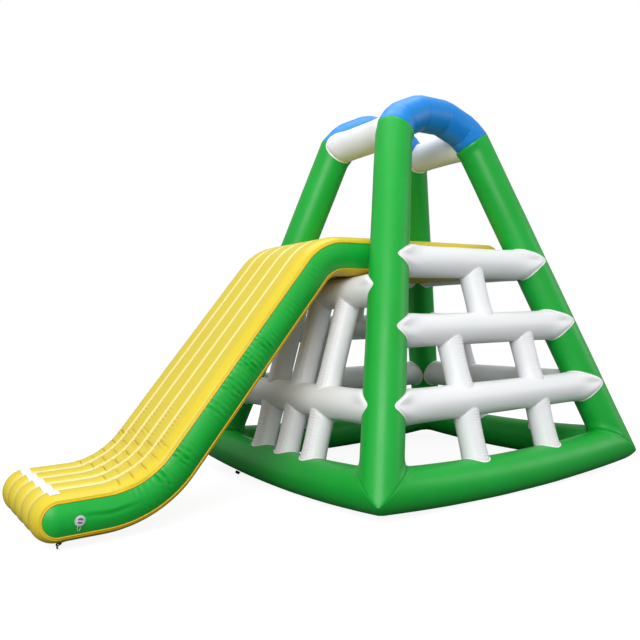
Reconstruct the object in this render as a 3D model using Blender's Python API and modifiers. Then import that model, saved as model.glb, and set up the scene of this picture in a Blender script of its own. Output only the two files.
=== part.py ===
"""Inflatable water slide on a climbing tower, built as closed solids in metres with +Z up.

Four leaning legs stand on a square base ring and carry two arches. Three sides are
climbing ladders of rungs and struts, and the fourth carries the slide, whose flat top
is the platform inside the tower. X runs along the slide, whose nose points to -X.
"""

import math

import bmesh
import bpy
from mathutils import Matrix, Vector

# Seams and clearances
gap = 0.0003
leg_clearance = 0.022

# Tubes
main_tube_diameter = 0.340
rung_tube_diameter = 0.280
strut_tube_diameter = 0.215
bridge_tube_diameter = 0.295
main_tube_sides = 24
rung_tube_sides = 24
strut_tube_sides = 20

# Base ring, measured to the tube axes
base_half_length = 1.475
base_half_width = 1.325
base_bow = 0.060
base_steps = 12
ground_flat = 0.005

# Legs and arches
shoulder_height = 3.240
shoulder_half_length = 0.513
shoulder_half_width = 0.453
arch_haunch_half_length = 0.416
arch_haunch_rise = 0.106
arch_crown_half_length = 0.158
arch_crown_rise = 0.2185

# Ladders
rung_heights = (1.995, 1.400, 0.800)
strut_half_pitch = 0.465
ladder_strut_offset = 0.040
back_strut_half_pitch = 0.440
back_strut_offset = -0.045
slide_strut_half_pitch = 0.420
slide_strut_offset = 0.055

# Slide chamber
platform_height = 2.051
runout_height = 0.230
slope_angle_deg = 49.4
crest_reach = 1.367
crest_radius = 0.380
foot_radius = 0.740
runout_length = 0.653
wall_half_height = 0.110
wall_rim = 0.020
wall_bulge = 0.040
wall_lip = 0.004
channel_count = 5
channel_bulge = 0.040
channel_steps = 4
bend_steps = 6
nose_steps = 6
back_corner_radius = 0.040
back_corner_steps = 2

# White band across the nose
band_run = 0.025
band_thickness = 0.0015

# Inflation valve on the near wall
valve_from_nose = 0.235
valve_drop = 0.015
valve_diameter = 0.074
valve_seat_depth = 0.006
valve_flange_thickness = 0.0042
valve_collar_height = 0.0033
valve_neck_diameter = 0.043
valve_bore_diameter = 0.034
valve_neck_depth = 0.030
valve_floor_thickness = 0.004
valve_hole_depth = 0.055
valve_stem_diameter = 0.008
valve_button_diameter = 0.014
valve_button_thickness = 0.0025
valve_button_depth = 0.002
valve_poppet_diameter = 0.024
valve_poppet_thickness = 0.003
valve_spring_wire = 0.0014
valve_spring_turns = 4
valve_spring_turn_steps = 10
valve_cap_diameter = 0.056
valve_cap_thickness = 0.0045
valve_plug_diameter = 0.0240
valve_plug_depth = 0.0016
valve_grip_depth = 0.0025
valve_grip_bar = 0.009
valve_grip_diameter = 0.042
valve_tether_ring_width = 0.0042
valve_tether_wire = 0.003
valve_tether_drop = 0.064
valve_tether_width = 0.022
valve_tether_angle_deg = 14
valve_turned_steps = 32
stem_clearance = 0.0005
recess_clearance = 0.001

# Mooring straps with rings under the nose
strap_width = 0.024
strap_thickness = 0.003
strap_plate_length = 0.045
strap_plate_width = 0.040
strap_run = 0.058
strap_drop = 0.020
strap_from_nose_centre = 0.090
eye_bore_diameter = 0.009
eye_wall = 0.003
eye_sides = 16
ring_wire = 0.006
ring_inner_width = 0.030
ring_drop = 0.026
ring_bend_steps = 6
wire_clearance = 0.0003

# Webbing loop under the slide's base tube
loop_plate_length = 0.080
loop_plate_width = 0.036
loop_plate_thickness = 0.0025
loop_bore_diameter = 0.022
loop_wall = 0.0025
loop_across = 0.770
loop_angle_deg = 60

# Derived sizes
main_radius = main_tube_diameter / 2
rung_radius = rung_tube_diameter / 2
strut_radius = strut_tube_diameter / 2
bridge_radius = bridge_tube_diameter / 2
base_low_height = main_radius - ground_flat
base_corner_height = base_low_height + base_bow
leg_run = (base_half_length - shoulder_half_length) / (shoulder_height - base_corner_height)
leg_side_run = (base_half_width - shoulder_half_width) / (
    shoulder_height - base_corner_height
)
side_lean = math.atan(leg_side_run)

core_half_height = wall_half_height + wall_rim
slope_angle = math.radians(slope_angle_deg)
nose_radius = core_half_height + channel_bulge
foot_corner_reach = crest_reach + (platform_height - runout_height) / math.tan(slope_angle)
nose_centre_reach = foot_corner_reach + runout_length
nose_reach = nose_centre_reach + nose_radius
tower_x = (nose_reach - base_half_length - main_radius) / 2

materials = {
    "pvc_green": ((0.02, 0.42, 0.08, 1), 0.35),
    "pvc_white": ((0.82, 0.83, 0.84, 1), 0.35),
    "pvc_blue": ((0.02, 0.25, 0.75, 1), 0.35),
    "pvc_yellow": ((0.88, 0.68, 0.05, 1), 0.35),
    "band_white": ((0.90, 0.90, 0.92, 1), 0.45),
    "valve_grey": ((0.45, 0.46, 0.50, 1), 0.40),
    "spring_steel": ((0.55, 0.55, 0.57, 1), 0.25),
    "webbing_black": ((0.02, 0.02, 0.02, 1), 0.70),
    "ring_black": ((0.02, 0.02, 0.022, 1), 0.40),
}
sharp_edge_deg = 35


def clear_scene():
    for thing in list(bpy.data.objects):
        bpy.data.objects.remove(thing, do_unlink=True)


def make_collections():
    """The collection of the pieces, and the hidden one of the cutters."""
    made = []
    for name in ("inflatable_water_slide", "cutters"):
        collection = bpy.data.collections.new(name)
        bpy.context.scene.collection.children.link(collection)
        made.append(collection)
    return made


def make_materials():
    for name, (colour, roughness) in materials.items():
        material = bpy.data.materials.new(name)
        material.use_nodes = True
        shader = material.node_tree.nodes["Principled BSDF"]
        shader.inputs["Base Color"].default_value = colour
        shader.inputs["Roughness"].default_value = roughness
        shader.inputs["Metallic"].default_value = float(name == "spring_steel")


def add_piece(name, bm, material):
    """A visible piece from a bmesh, with its faces turned outward."""
    bmesh.ops.recalc_face_normals(bm, faces=bm.faces[:])
    mesh = bpy.data.meshes.new(name)
    bm.to_mesh(mesh)
    bm.free()
    mesh.shade_smooth()
    mesh.set_sharp_from_angle(angle=math.radians(sharp_edge_deg))
    mesh.materials.append(bpy.data.materials[material])
    piece = bpy.data.objects.new(name, mesh)
    pieces.objects.link(piece)
    return piece


def add_cutter(name, bm):
    """A hidden cutter from a bmesh."""
    bmesh.ops.recalc_face_normals(bm, faces=bm.faces[:])
    mesh = bpy.data.meshes.new(name)
    bm.to_mesh(mesh)
    bm.free()
    cutter = bpy.data.objects.new(name, mesh)
    cutter.hide_render = True
    cutter.display_type = "WIRE"
    cutters.objects.link(cutter)
    return cutter


def boolean(piece, operation, cutter):
    step = piece.modifiers.new(f"{operation.lower()}_{cutter.name}", "BOOLEAN")
    step.operation = operation
    step.solver = "EXACT"
    step.object = cutter


def ring_points(centre, along, side, radius, sides, plane_normal):
    """A circle around the axis, slid along the axis into the given plane."""
    across = along.cross(side).normalized()
    points = []
    for index in range(sides):
        turn = 2 * math.pi * index / sides
        offset = radius * (math.cos(turn) * side + math.sin(turn) * across)
        slid = offset - along * (offset.dot(plane_normal) / along.dot(plane_normal))
        points.append(centre + slid)
    return points


def loft(rings):
    """A closed skin over rings of the same number of points, with flat ends."""
    bm = bmesh.new()
    rows = [[bm.verts.new(point) for point in ring] for ring in rings]
    count = len(rows[0])
    for low, high in zip(rows, rows[1:]):
        for index in range(count):
            after = (index + 1) % count
            bm.faces.new((low[index], low[after], high[after], high[index]))
    bm.faces.new(rows[0][::-1])
    bm.faces.new(rows[-1])
    return bm


def tube(points, radius, sides, side, first_normal=None, last_normal=None):
    """A round tube along a flat path, mitred where the path turns."""
    points = [Vector(point) for point in points]
    runs = [(b - a).normalized() for a, b in zip(points, points[1:])]
    rings = []
    for index, point in enumerate(points):
        before = runs[max(index - 1, 0)]
        after = runs[min(index, len(runs) - 1)]
        normal = (before + after).normalized()
        if index == 0 and first_normal is not None:
            normal = first_normal
        if index == len(points) - 1 and last_normal is not None:
            normal = last_normal
        across = (side - before * side.dot(before)).normalized()
        rings.append(ring_points(point, before, across, radius, sides, normal))
    return loft(rings)


def trim(bm, point, outward):
    """Cuts away what lies past a plane and closes the cut with one flat face."""
    geometry = bm.verts[:] + bm.edges[:] + bm.faces[:]
    bmesh.ops.bisect_plane(
        bm,
        geom=geometry,
        dist=1e-7,
        plane_co=point,
        plane_no=outward,
        clear_outer=True,
    )
    rim = [edge for edge in bm.edges if edge.is_boundary]
    bmesh.ops.holes_fill(bm, edges=rim, sides=0)


def bar_bmesh(radius, length, sides):
    """A straight round bar along Z, centred on its origin."""
    bm = bmesh.new()
    bmesh.ops.create_cone(
        bm, cap_ends=True, segments=sides, radius1=radius, radius2=radius, depth=length
    )
    return bm


def box_bmesh(size):
    """A box centred on its origin."""
    bm = bmesh.new()
    bmesh.ops.create_cube(bm, size=1)
    bmesh.ops.scale(bm, verts=bm.verts[:], vec=size)
    return bm


def span(thing, start, end):
    """Lays a bar modelled along Z between two points."""
    thing.location = (start + end) / 2
    thing.rotation_euler = (end - start).to_track_quat("Z", "Y").to_euler()
    return thing


def corner(sx, sy):
    return Vector((tower_x + sx * base_half_length, sy * base_half_width, base_corner_height))


def leg_point(sx, sy, height):
    """The leg's axis at a height."""
    rise = height - base_corner_height
    x = tower_x + sx * (base_half_length - leg_run * rise)
    return Vector((x, sy * (base_half_width - leg_side_run * rise), height))


def leg_direction(sx, sy):
    return (leg_point(sx, sy, shoulder_height) - corner(sx, sy)).normalized()


def base_axis(start, end):
    """The bowed axis of a base tube, lowest halfway along."""
    points = []
    for index in range(base_steps + 1):
        share = index / base_steps
        sink = base_bow * 4 * share * (1 - share)
        points.append(start.lerp(end, share) - Vector((0, 0, sink)))
    return points


def base_height_at(share):
    return base_corner_height - base_bow * 4 * share * (1 - share)


def base_direction(start, end):
    points = base_axis(start, end)
    return (points[1] - points[0]).normalized()


def corner_directions(sx, sy):
    """The ways that the leg and the two base tubes leave a corner."""
    here = corner(sx, sy)
    return (
        leg_direction(sx, sy),
        base_direction(here, corner(-sx, sy)),
        base_direction(here, corner(sx, -sy)),
    )


def trim_corner(bm, sx, sy, which, seam):
    """Mitres one of a corner's three tubes against the other two."""
    directions = corner_directions(sx, sy)
    own = directions[which]
    for index, other in enumerate(directions):
        if index != which:
            outward = (other - own).normalized()
            trim(bm, corner(sx, sy) - outward * seam / 2, outward)


def leg_bmesh(sx, sy, radius, seam):
    """A leg from its base corner to the shoulder."""
    along = leg_direction(sx, sy)
    reach = along * main_tube_diameter
    low = corner(sx, sy) - reach
    top = leg_point(sx, sy, shoulder_height) + reach
    bm = bar_bmesh(radius, (top - low).length, main_tube_sides)
    turn = along.to_track_quat("Z", "Y").to_matrix().to_4x4()
    bmesh.ops.transform(
        bm, matrix=Matrix.Translation((low + top) / 2) @ turn, verts=bm.verts[:]
    )
    trim_corner(bm, sx, sy, 0, seam)
    outward = shoulder_normal(sx, sy)
    trim(bm, leg_point(sx, sy, shoulder_height) - outward * seam / 2, outward)
    return bm


def arch_points(sy):
    """The corners of the arch's axis, from the slide's side to the back."""
    stops = (
        (-shoulder_half_length, 0),
        (-arch_haunch_half_length, arch_haunch_rise),
        (-arch_crown_half_length, arch_crown_rise),
        (arch_crown_half_length, arch_crown_rise),
        (arch_haunch_half_length, arch_haunch_rise),
        (shoulder_half_length, 0),
    )
    points = []
    for x, rise in stops:
        y = sy * (shoulder_half_width - leg_side_run * rise)
        points.append(Vector((tower_x + x, y, shoulder_height + rise)))
    return points


def shoulder_normal(sx, sy):
    """The way past the mitre between a leg and its arch."""
    points = arch_points(sy)
    if sx > 0:
        points.reverse()
    away = (points[1] - points[0]).normalized()
    return (leg_direction(sx, sy) + away).normalized()


def arch_bmesh(sy, radius, seam):
    points = arch_points(sy)
    plane_side = Vector((0, math.cos(side_lean), sy * math.sin(side_lean)))
    bm = tube(
        points,
        radius,
        main_tube_sides,
        plane_side,
        shoulder_normal(-1, sy),
        -shoulder_normal(1, sy),
    )
    for sx in (-1, 1):
        inward = shoulder_normal(sx, sy)
        trim(bm, leg_point(sx, sy, shoulder_height) + inward * seam / 2, -inward)
    return bm


def shoulder_bmesh(sx, sy):
    """The bend from a leg into its arch, fatter by the seam."""
    points = arch_points(sy)
    if sx > 0:
        points.reverse()
    low = points[0] - leg_direction(sx, sy) * main_tube_diameter * 2
    side = Vector((0, math.cos(side_lean), sy * math.sin(side_lean)))
    return tube([low, *points[:4]], main_radius + gap, main_tube_sides, side)


def base_bmesh(first, second, radius, seam, which):
    """A base tube between two corners, with the flat it stands on."""
    start, end = corner(*first), corner(*second)
    axis = base_axis(start, end)
    reach = main_tube_diameter
    before = axis[0] + (axis[0] - axis[1]).normalized() * reach
    after = axis[-1] + (axis[-1] - axis[-2]).normalized() * reach
    side = (end - start).cross(Vector((0, 0, 1))).normalized()
    bm = tube([before, *axis, after], radius, main_tube_sides, side)
    trim_corner(bm, *first, which, seam)
    trim_corner(bm, *second, which, seam)
    trim(bm, Vector((0, 0, 0)), Vector((0, 0, -1)))
    return bm


def frame_face(name):
    """A side of the tower: its two legs and the way along it."""
    return {
        "near": ((-1, -1), (1, -1)),
        "far": ((-1, 1), (1, 1)),
        "back": ((1, -1), (1, 1)),
        "slide_face": ((-1, -1), (-1, 1)),
    }[name]


def build_frame():
    """Base ring, legs, arches and the bridges between the arches."""
    legs = {
        (-1, -1): "leg_near_slide",
        (1, -1): "leg_near_back",
        (1, 1): "leg_far_back",
        (-1, 1): "leg_far_slide",
    }
    for (sx, sy), name in legs.items():
        add_piece(name, leg_bmesh(sx, sy, main_radius, gap), "pvc_green")
        fat_legs[sx, sy] = add_cutter(f"cut_{name}", leg_bmesh(sx, sy, main_radius + gap, 0))
    for face, which in (("near", 1), ("far", 1), ("back", 2), ("slide_face", 2)):
        ends = frame_face(face)
        name = "base_tube_slide" if face == "slide_face" else f"base_tube_{face}"
        add_piece(name, base_bmesh(*ends, main_radius, gap, which), "pvc_green")
        fat_bases[face] = add_cutter(
            f"cut_{name}", base_bmesh(*ends, main_radius + gap, 0, which)
        )
    for sy, name in ((-1, "arch_near"), (1, "arch_far")):
        add_piece(name, arch_bmesh(sy, main_radius, gap), "pvc_blue")
    for sx, name in ((-1, "bridge_slide"), (1, "bridge_back")):
        ends = [leg_point(sx, sy, shoulder_height) for sy in (-1, 1)]
        bm = bar_bmesh(bridge_radius, (ends[1] - ends[0]).length, rung_tube_sides)
        bridge = span(add_piece(name, bm, "pvc_white"), *ends)
        for sy, word in ((-1, "near"), (1, "far")):
            cutter = add_cutter(f"cut_{name}_{word}", shoulder_bmesh(sx, sy))
            boolean(bridge, "DIFFERENCE", cutter)


def build_rung(name, face, height, neighbours=()):
    """A rung between two legs, cut to sit on both and on the rungs beside it."""
    first, second = frame_face(face)
    ends = [leg_point(*first, height), leg_point(*second, height)]
    length = (ends[1] - ends[0]).length
    bm = bar_bmesh(rung_radius, length, rung_tube_sides)
    rung = span(add_piece(name, bm, "pvc_white"), *ends)
    for cutter in (fat_legs[first], fat_legs[second], *neighbours):
        boolean(rung, "DIFFERENCE", cutter)
    bm = bar_bmesh(rung_radius + gap, length, rung_tube_sides)
    return span(add_cutter(f"cut_{name}", bm), *ends)


def face_point(face, across, height):
    """A point in a side's plane, so far along the side from its middle."""
    first, second = frame_face(face)
    start, end = leg_point(*first, height), leg_point(*second, height)
    middle = (start + end) / 2
    return middle + (end - start).normalized() * across


def base_point(face, across):
    """A point on a base tube's axis, so far along it from its middle."""
    first, second = frame_face(face)
    start, end = corner(*first), corner(*second)
    share = across / (end - start).length + 1 / 2
    point = start.lerp(end, share)
    point.z = base_height_at(share)
    return point


def build_strut(name, top, bottom, above, below):
    """A strut between two tubes, cut to sit on both."""
    bm = bar_bmesh(strut_radius, (top - bottom).length, strut_tube_sides)
    strut = span(add_piece(name, bm, "pvc_white"), bottom, top)
    boolean(strut, "DIFFERENCE", above)
    boolean(strut, "DIFFERENCE", below)


def build_ladder(face, offset, half_pitch, sides=()):
    """Three rungs with one strut, then two, then two down to the base tube."""
    high, middle, low = rung_heights
    rungs = [
        build_rung(
            f"{face}_rung_{word}", face, height, [rungs_there[index] for rungs_there in sides]
        )
        for index, (word, height) in enumerate(
            zip(("top", "middle", "bottom"), rung_heights)
        )
    ]
    build_strut(
        f"{face}_strut_upper",
        face_point(face, offset, high),
        face_point(face, offset, middle),
        rungs[0],
        rungs[1],
    )
    for letter, sign in (("a", -1), ("b", 1)):
        across = offset + sign * half_pitch
        build_strut(
            f"{face}_strut_middle_{letter}",
            face_point(face, across, middle),
            face_point(face, across, low),
            rungs[1],
            rungs[2],
        )
        build_strut(
            f"{face}_strut_lower_{letter}",
            face_point(face, across, low),
            base_point(face, across),
            rungs[2],
            fat_bases[face],
        )
    return rungs


def build_slide_face(sides):
    """The two rungs and six struts under the slide, the top one under the platform."""
    face = "slide_face"
    high = platform_height - nose_radius - gap - rung_radius
    low = rung_heights[-1]
    beside_top = [rung for ladder in sides for rung in ladder[:2]]
    top = build_rung("slide_rung_top", face, high, beside_top)
    bottom = build_rung("slide_rung_bottom", face, low, [ladder[2] for ladder in sides])
    for letter, sign in (("a", -1), ("b", 0), ("c", 1)):
        across = slide_strut_offset + sign * slide_strut_half_pitch
        build_strut(
            f"slide_strut_upper_{letter}",
            face_point(face, across, high),
            face_point(face, across, low),
            top,
            bottom,
        )
        build_strut(
            f"slide_strut_lower_{letter}",
            face_point(face, across, low),
            base_point(face, across),
            bottom,
            fat_bases[face],
        )


def slide_half_width():
    """The chamber fits between the legs at the height of the platform's upper edge."""
    height = platform_height + core_half_height
    axis = leg_point(1, 1, height).y
    return axis - main_radius / math.cos(side_lean) - leg_clearance


def bend(centre, radius, start_deg, end_deg):
    """Stations round a bend: where each is, and the way from the path's underside up."""
    stations = []
    for index in range(bend_steps + 1):
        turn = math.radians(start_deg + (end_deg - start_deg) * index / bend_steps)
        outward = Vector((math.cos(turn), 0, math.sin(turn)))
        stations.append((centre + outward * radius, outward))
    return stations


def slide_stations():
    """The slide's middle line from the platform's back end to the nose, with its upward ways."""
    up = Vector((0, 0, 1))
    back_rung = leg_point(1, 1, rung_heights[0]).x - rung_radius
    back_x = back_rung - gap - channel_bulge
    tangent = crest_radius * math.tan(slope_angle / 2)
    crest_x = tower_x - crest_reach + tangent
    crest_centre = Vector((crest_x, 0, platform_height - crest_radius))
    stations = [(Vector((back_x, 0, platform_height)), up)]
    stations += bend(crest_centre, crest_radius, 90, 90 + slope_angle_deg)
    tangent = foot_radius * math.tan(slope_angle / 2)
    foot_x = tower_x - foot_corner_reach - tangent
    foot_centre = Vector((foot_x, 0, runout_height + foot_radius))
    foot = bend(foot_centre, foot_radius, slope_angle_deg - 90, -90)
    stations += [(point, -outward) for point, outward in foot]
    nose_x = tower_x - nose_centre_reach
    stations.append((Vector((nose_x + band_run, 0, runout_height)), up))
    stations.append((Vector((nose_x, 0, runout_height)), up))
    return stations


def nose_stations(steps):
    """Half-angles round the nose, from its top to its foremost point."""
    return [math.pi / 2 * index / steps for index in range(1, steps + 1)]


def chamber_outline():
    """The chamber's side view as a loop of points with outward ways: the back end's
    corner, the top, the nose, the bottom and the back end's other corner."""
    stations = slide_stations()
    half = core_half_height
    nose_centre = stations[-1][0]
    upper, lower = [], []
    back_centre = stations[0][0]
    for index in range(back_corner_steps + 1):
        turn = math.pi / 2 * index / (back_corner_steps + 1)
        reach = half - back_corner_radius
        for sign, line in ((1, upper), (-1, lower)):
            outward = Vector((math.cos(turn), 0, sign * math.sin(turn)))
            middle = back_centre + Vector((-back_corner_radius, 0, sign * reach))
            line.append((middle + outward * back_corner_radius, outward))
    first = (back_centre - Vector((back_corner_radius, 0, 0)), stations[0][1])
    for centre, up in [first, *stations[1:]]:
        upper.append((centre + up * half, up))
        lower.append((centre - up * half, -up))
    for turn in nose_stations(nose_steps)[:-1]:
        for sign, line in ((1, upper), (-1, lower)):
            outward = Vector((-math.sin(turn), 0, sign * math.cos(turn)))
            line.append((nose_centre + outward * half, outward))
    tip = Vector((-1, 0, 0))
    return upper, (nose_centre + tip * half, tip), lower


def channel_section():
    """Places across the chamber, with how far the skin bulges there."""
    width = 2 * slide_half_width() / channel_count
    radius = (width * width / 4 + channel_bulge * channel_bulge) / (2 * channel_bulge)
    section = []
    for index in range(channel_count * channel_steps + 1):
        y = -slide_half_width() + width * index / channel_steps
        off = (index % channel_steps) * width / channel_steps - width / 2
        bulge = math.sqrt(radius * radius - off * off) - (radius - channel_bulge)
        section.append((y, max(bulge, 0)))
    return section


def chamber_bmesh():
    """The yellow chamber: channels all round the side view, with flat sides."""
    upper, tip, lower = chamber_outline()
    loop = upper + [tip] + lower[::-1]
    bm = bmesh.new()
    rows = []
    for y, bulge in channel_section():
        row = []
        for point, outward in loop:
            place = point + outward * bulge
            row.append(bm.verts.new((place.x, y, place.z)))
        rows.append(row)
    count = len(loop)
    for low, high in zip(rows, rows[1:]):
        for index in range(count):
            after = (index + 1) % count
            bm.faces.new((low[index], low[after], high[after], high[index]))
    for row in (rows[0], rows[-1]):
        for index in range(len(upper) - 1):
            opposite = count - 1 - index
            bm.faces.new((row[index], row[index + 1], row[opposite - 1], row[opposite]))
        last = len(upper) - 1
        bm.faces.new((row[last], row[last + 1], row[last + 2]))
    return bm


def wall_bmesh(sy):
    """A green side wall: flat against the chamber and bulging outward."""
    stations = slide_stations()
    half = wall_half_height
    nose_centre = stations[-1][0]
    inset = Vector((wall_rim, 0, 0))
    start = (stations[0][0] - inset, stations[0][1])
    inner_y = slide_half_width() + gap
    columns = (1, 2 / 3, 1 / 3, 0, -1 / 3, -2 / 3, -1)
    bm = bmesh.new()

    def crown(share):
        return wall_lip + (wall_bulge - wall_lip) * (1 - share * share)

    rows = []
    for centre, up in [start, *stations[1:]]:
        outer = [
            (centre + up * half * share).xz.to_tuple() + (crown(share),) for share in columns
        ]
        rows.append(outer)
    for turn in nose_stations(nose_steps)[:-1]:
        row = []
        for share in columns:
            x = -math.sin(turn) * half
            z = math.cos(turn) * half * share
            far = math.hypot(x, z) / half
            row.append((nose_centre.x + x, nose_centre.z + z, crown(far)))
        rows.append(row)
    outer_rows = []
    inner_rows = []
    for row in rows:
        outer_rows.append([bm.verts.new((x, sy * (inner_y + out), z)) for x, z, out in row])
        ends = (row[0], row[-1])
        inner_rows.append([bm.verts.new((x, sy * inner_y, z)) for x, z, _ in ends])
    tip_x = nose_centre.x - half
    outer_tip = bm.verts.new((tip_x, sy * (inner_y + wall_lip), nose_centre.z))
    inner_tip = bm.verts.new((tip_x, sy * inner_y, nose_centre.z))
    for (low, high), (low_in, high_in) in zip(
        zip(outer_rows, outer_rows[1:]), zip(inner_rows, inner_rows[1:])
    ):
        for index in range(len(columns) - 1):
            bm.faces.new((low[index], low[index + 1], high[index + 1], high[index]))
        bm.faces.new((low_in[0], high_in[0], high_in[1], low_in[1]))
        bm.faces.new((low[0], high[0], high_in[0], low_in[0]))
        bm.faces.new((low[-1], low_in[1], high_in[1], high[-1]))
    bm.faces.new([*outer_rows[0], inner_rows[0][1], inner_rows[0][0]])
    last, last_in = outer_rows[-1], inner_rows[-1]
    for index in range(len(columns) - 1):
        bm.faces.new((last[index], last[index + 1], outer_tip))
    bm.faces.new((last_in[0], inner_tip, last_in[1]))
    bm.faces.new((last[0], outer_tip, inner_tip, last_in[0]))
    bm.faces.new((last[-1], last_in[1], inner_tip, outer_tip))
    return bm


def band_bmesh():
    """The white band laid over the channels where the nose begins."""
    upper = chamber_outline()[0]
    first = len(upper) - nose_steps - 1
    run = upper[first : first + 3]
    section = channel_section()[1:-1]
    rings = []
    for y, bulge in section:
        low = [point + outward * (bulge + gap) for point, outward in run]
        high = [point + outward * (bulge + gap + band_thickness) for point, outward in run]
        rings.append([Vector((p.x, y, p.z)) for p in low + high[::-1]])
    return loft(rings)


def build_slide():
    """The chamber with its two side walls and the band."""
    chamber = add_piece("slide_chamber", chamber_bmesh(), "pvc_yellow")
    near_wall = add_piece("slide_wall_near", wall_bmesh(-1), "pvc_green")
    add_piece("slide_wall_far", wall_bmesh(1), "pvc_green")
    add_piece("nose_band", band_bmesh(), "band_white")
    return chamber, near_wall


def valve_centre():
    """Where the valve's flange sits in the near wall."""
    x = tower_x - nose_centre_reach - wall_half_height + valve_from_nose
    y = -(slide_half_width() + gap + wall_bulge - valve_seat_depth)
    return Vector((x, y, runout_height - valve_drop))


def on_valve(thing):
    """Turns a thing's +Z to the valve's outward way and its +Y up."""
    thing.parent = valve_axis
    return thing


def turned(name, profile, material, steps=valve_turned_steps):
    """A piece turned about the valve's axis, from radii and heights outward from its seat."""
    mesh = bpy.data.meshes.new(name)
    points = [(radius, 0, height) for radius, height in profile]
    edges = [(index, index + 1) for index in range(len(points) - 1)]
    mesh.from_pydata(points, edges, [])
    mesh.materials.append(bpy.data.materials[material])
    piece = bpy.data.objects.new(name, mesh)
    pieces.objects.link(piece)
    spin = piece.modifiers.new("turned", "SCREW")
    spin.axis = "Z"
    spin.steps = steps
    spin.render_steps = steps
    spin.use_merge_vertices = True
    spin.merge_threshold = 1e-6
    return on_valve(piece)


def wire_curve(name, points, diameter, closed):
    """A round wire through points, as a curve with filled ends."""
    curve = bpy.data.curves.new(name, "CURVE")
    curve.dimensions = "3D"
    curve.bevel_depth = diameter / 2
    curve.bevel_resolution = 1
    curve.use_fill_caps = not closed
    line = curve.splines.new("POLY")
    line.points.add(len(points) - 1)
    for spot, point in zip(line.points, points):
        spot.co = (*point, 1)
    line.use_cyclic_u = closed
    return curve


def add_wire(name, points, diameter, closed, material):
    curve = wire_curve(name, points, diameter, closed)
    curve.materials.append(bpy.data.materials[material])
    piece = bpy.data.objects.new(name, curve)
    pieces.objects.link(piece)
    return piece


def wire_cutter(name, points, diameter):
    """A wire turned into a mesh with welded ends, for joining to another piece."""
    draft = bpy.data.objects.new(name, wire_curve(name, points, diameter, False))
    cutters.objects.link(draft)
    bpy.context.view_layer.update()
    graph = bpy.context.evaluated_depsgraph_get()
    bm = bmesh.new()
    bm.from_mesh(bpy.data.meshes.new_from_object(draft.evaluated_get(graph)))
    bpy.data.objects.remove(draft)
    bmesh.ops.remove_doubles(bm, verts=bm.verts[:], dist=1e-6)
    return add_cutter(name, bm)


def build_valve(chamber, near_wall):
    """The flange and the holes that it needs."""
    seat = valve_flange_thickness
    collar = valve_flange_thickness + valve_collar_height
    neck = valve_neck_diameter / 2
    bore = valve_bore_diameter / 2
    floor = valve_floor_thickness - valve_neck_depth
    stem_hole = valve_stem_diameter / 2 + stem_clearance
    chamfer = valve_flange_thickness / 3
    turned(
        "valve_flange",
        (
            (stem_hole, floor),
            (bore, floor),
            (bore, collar),
            (neck, collar),
            (neck, seat),
            (valve_diameter / 2 - chamfer, seat),
            (valve_diameter / 2, seat - chamfer),
            (valve_diameter / 2, gap),
            (neck, gap),
            (neck, -valve_neck_depth),
            (stem_hole, -valve_neck_depth),
            (stem_hole, floor),
        ),
        "valve_grey",
    )
    wide = bar_bmesh(valve_diameter / 2 + recess_clearance, wall_bulge, valve_turned_steps)
    recess = on_valve(add_cutter("cut_valve_seat", wide))
    recess.location.z = wall_bulge / 2
    deep = bar_bmesh(neck + recess_clearance, 2 * valve_hole_depth, valve_turned_steps)
    hole = on_valve(add_cutter("cut_valve_hole", deep))
    boolean(near_wall, "DIFFERENCE", recess)
    boolean(near_wall, "DIFFERENCE", hole)
    boolean(chamber, "DIFFERENCE", hole)


def build_valve_stem():
    """The sprung stem, its poppet under the neck and its button in the bore."""
    floor = valve_floor_thickness - valve_neck_depth
    button_top = -valve_button_depth
    button_low = button_top - valve_button_thickness
    button = valve_button_diameter / 2
    poppet_top = -valve_neck_depth - gap
    poppet_low = poppet_top - valve_poppet_thickness
    poppet = valve_poppet_diameter / 2
    rod = valve_stem_diameter / 2
    turned(
        "valve_stem",
        (
            (0, button_top),
            (button, button_top),
            (button, button_low),
            (rod, button_low),
            (rod, poppet_top),
            (poppet, poppet_top),
            (poppet, poppet_low),
            (0, poppet_low),
        ),
        "valve_grey",
    )
    wire = valve_spring_wire
    coil = (rod + stem_clearance + button) / 2
    low = floor + gap + wire / 2
    high = button_low - gap - wire / 2
    count = valve_spring_turns * valve_spring_turn_steps
    points = []
    for index in range(count + 1):
        turn = 2 * math.pi * index / valve_spring_turn_steps
        height = low + (high - low) * index / count
        points.append((coil * math.cos(turn), coil * math.sin(turn), height))
    on_valve(add_wire("valve_spring", points, wire, False, "spring_steel"))


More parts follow.
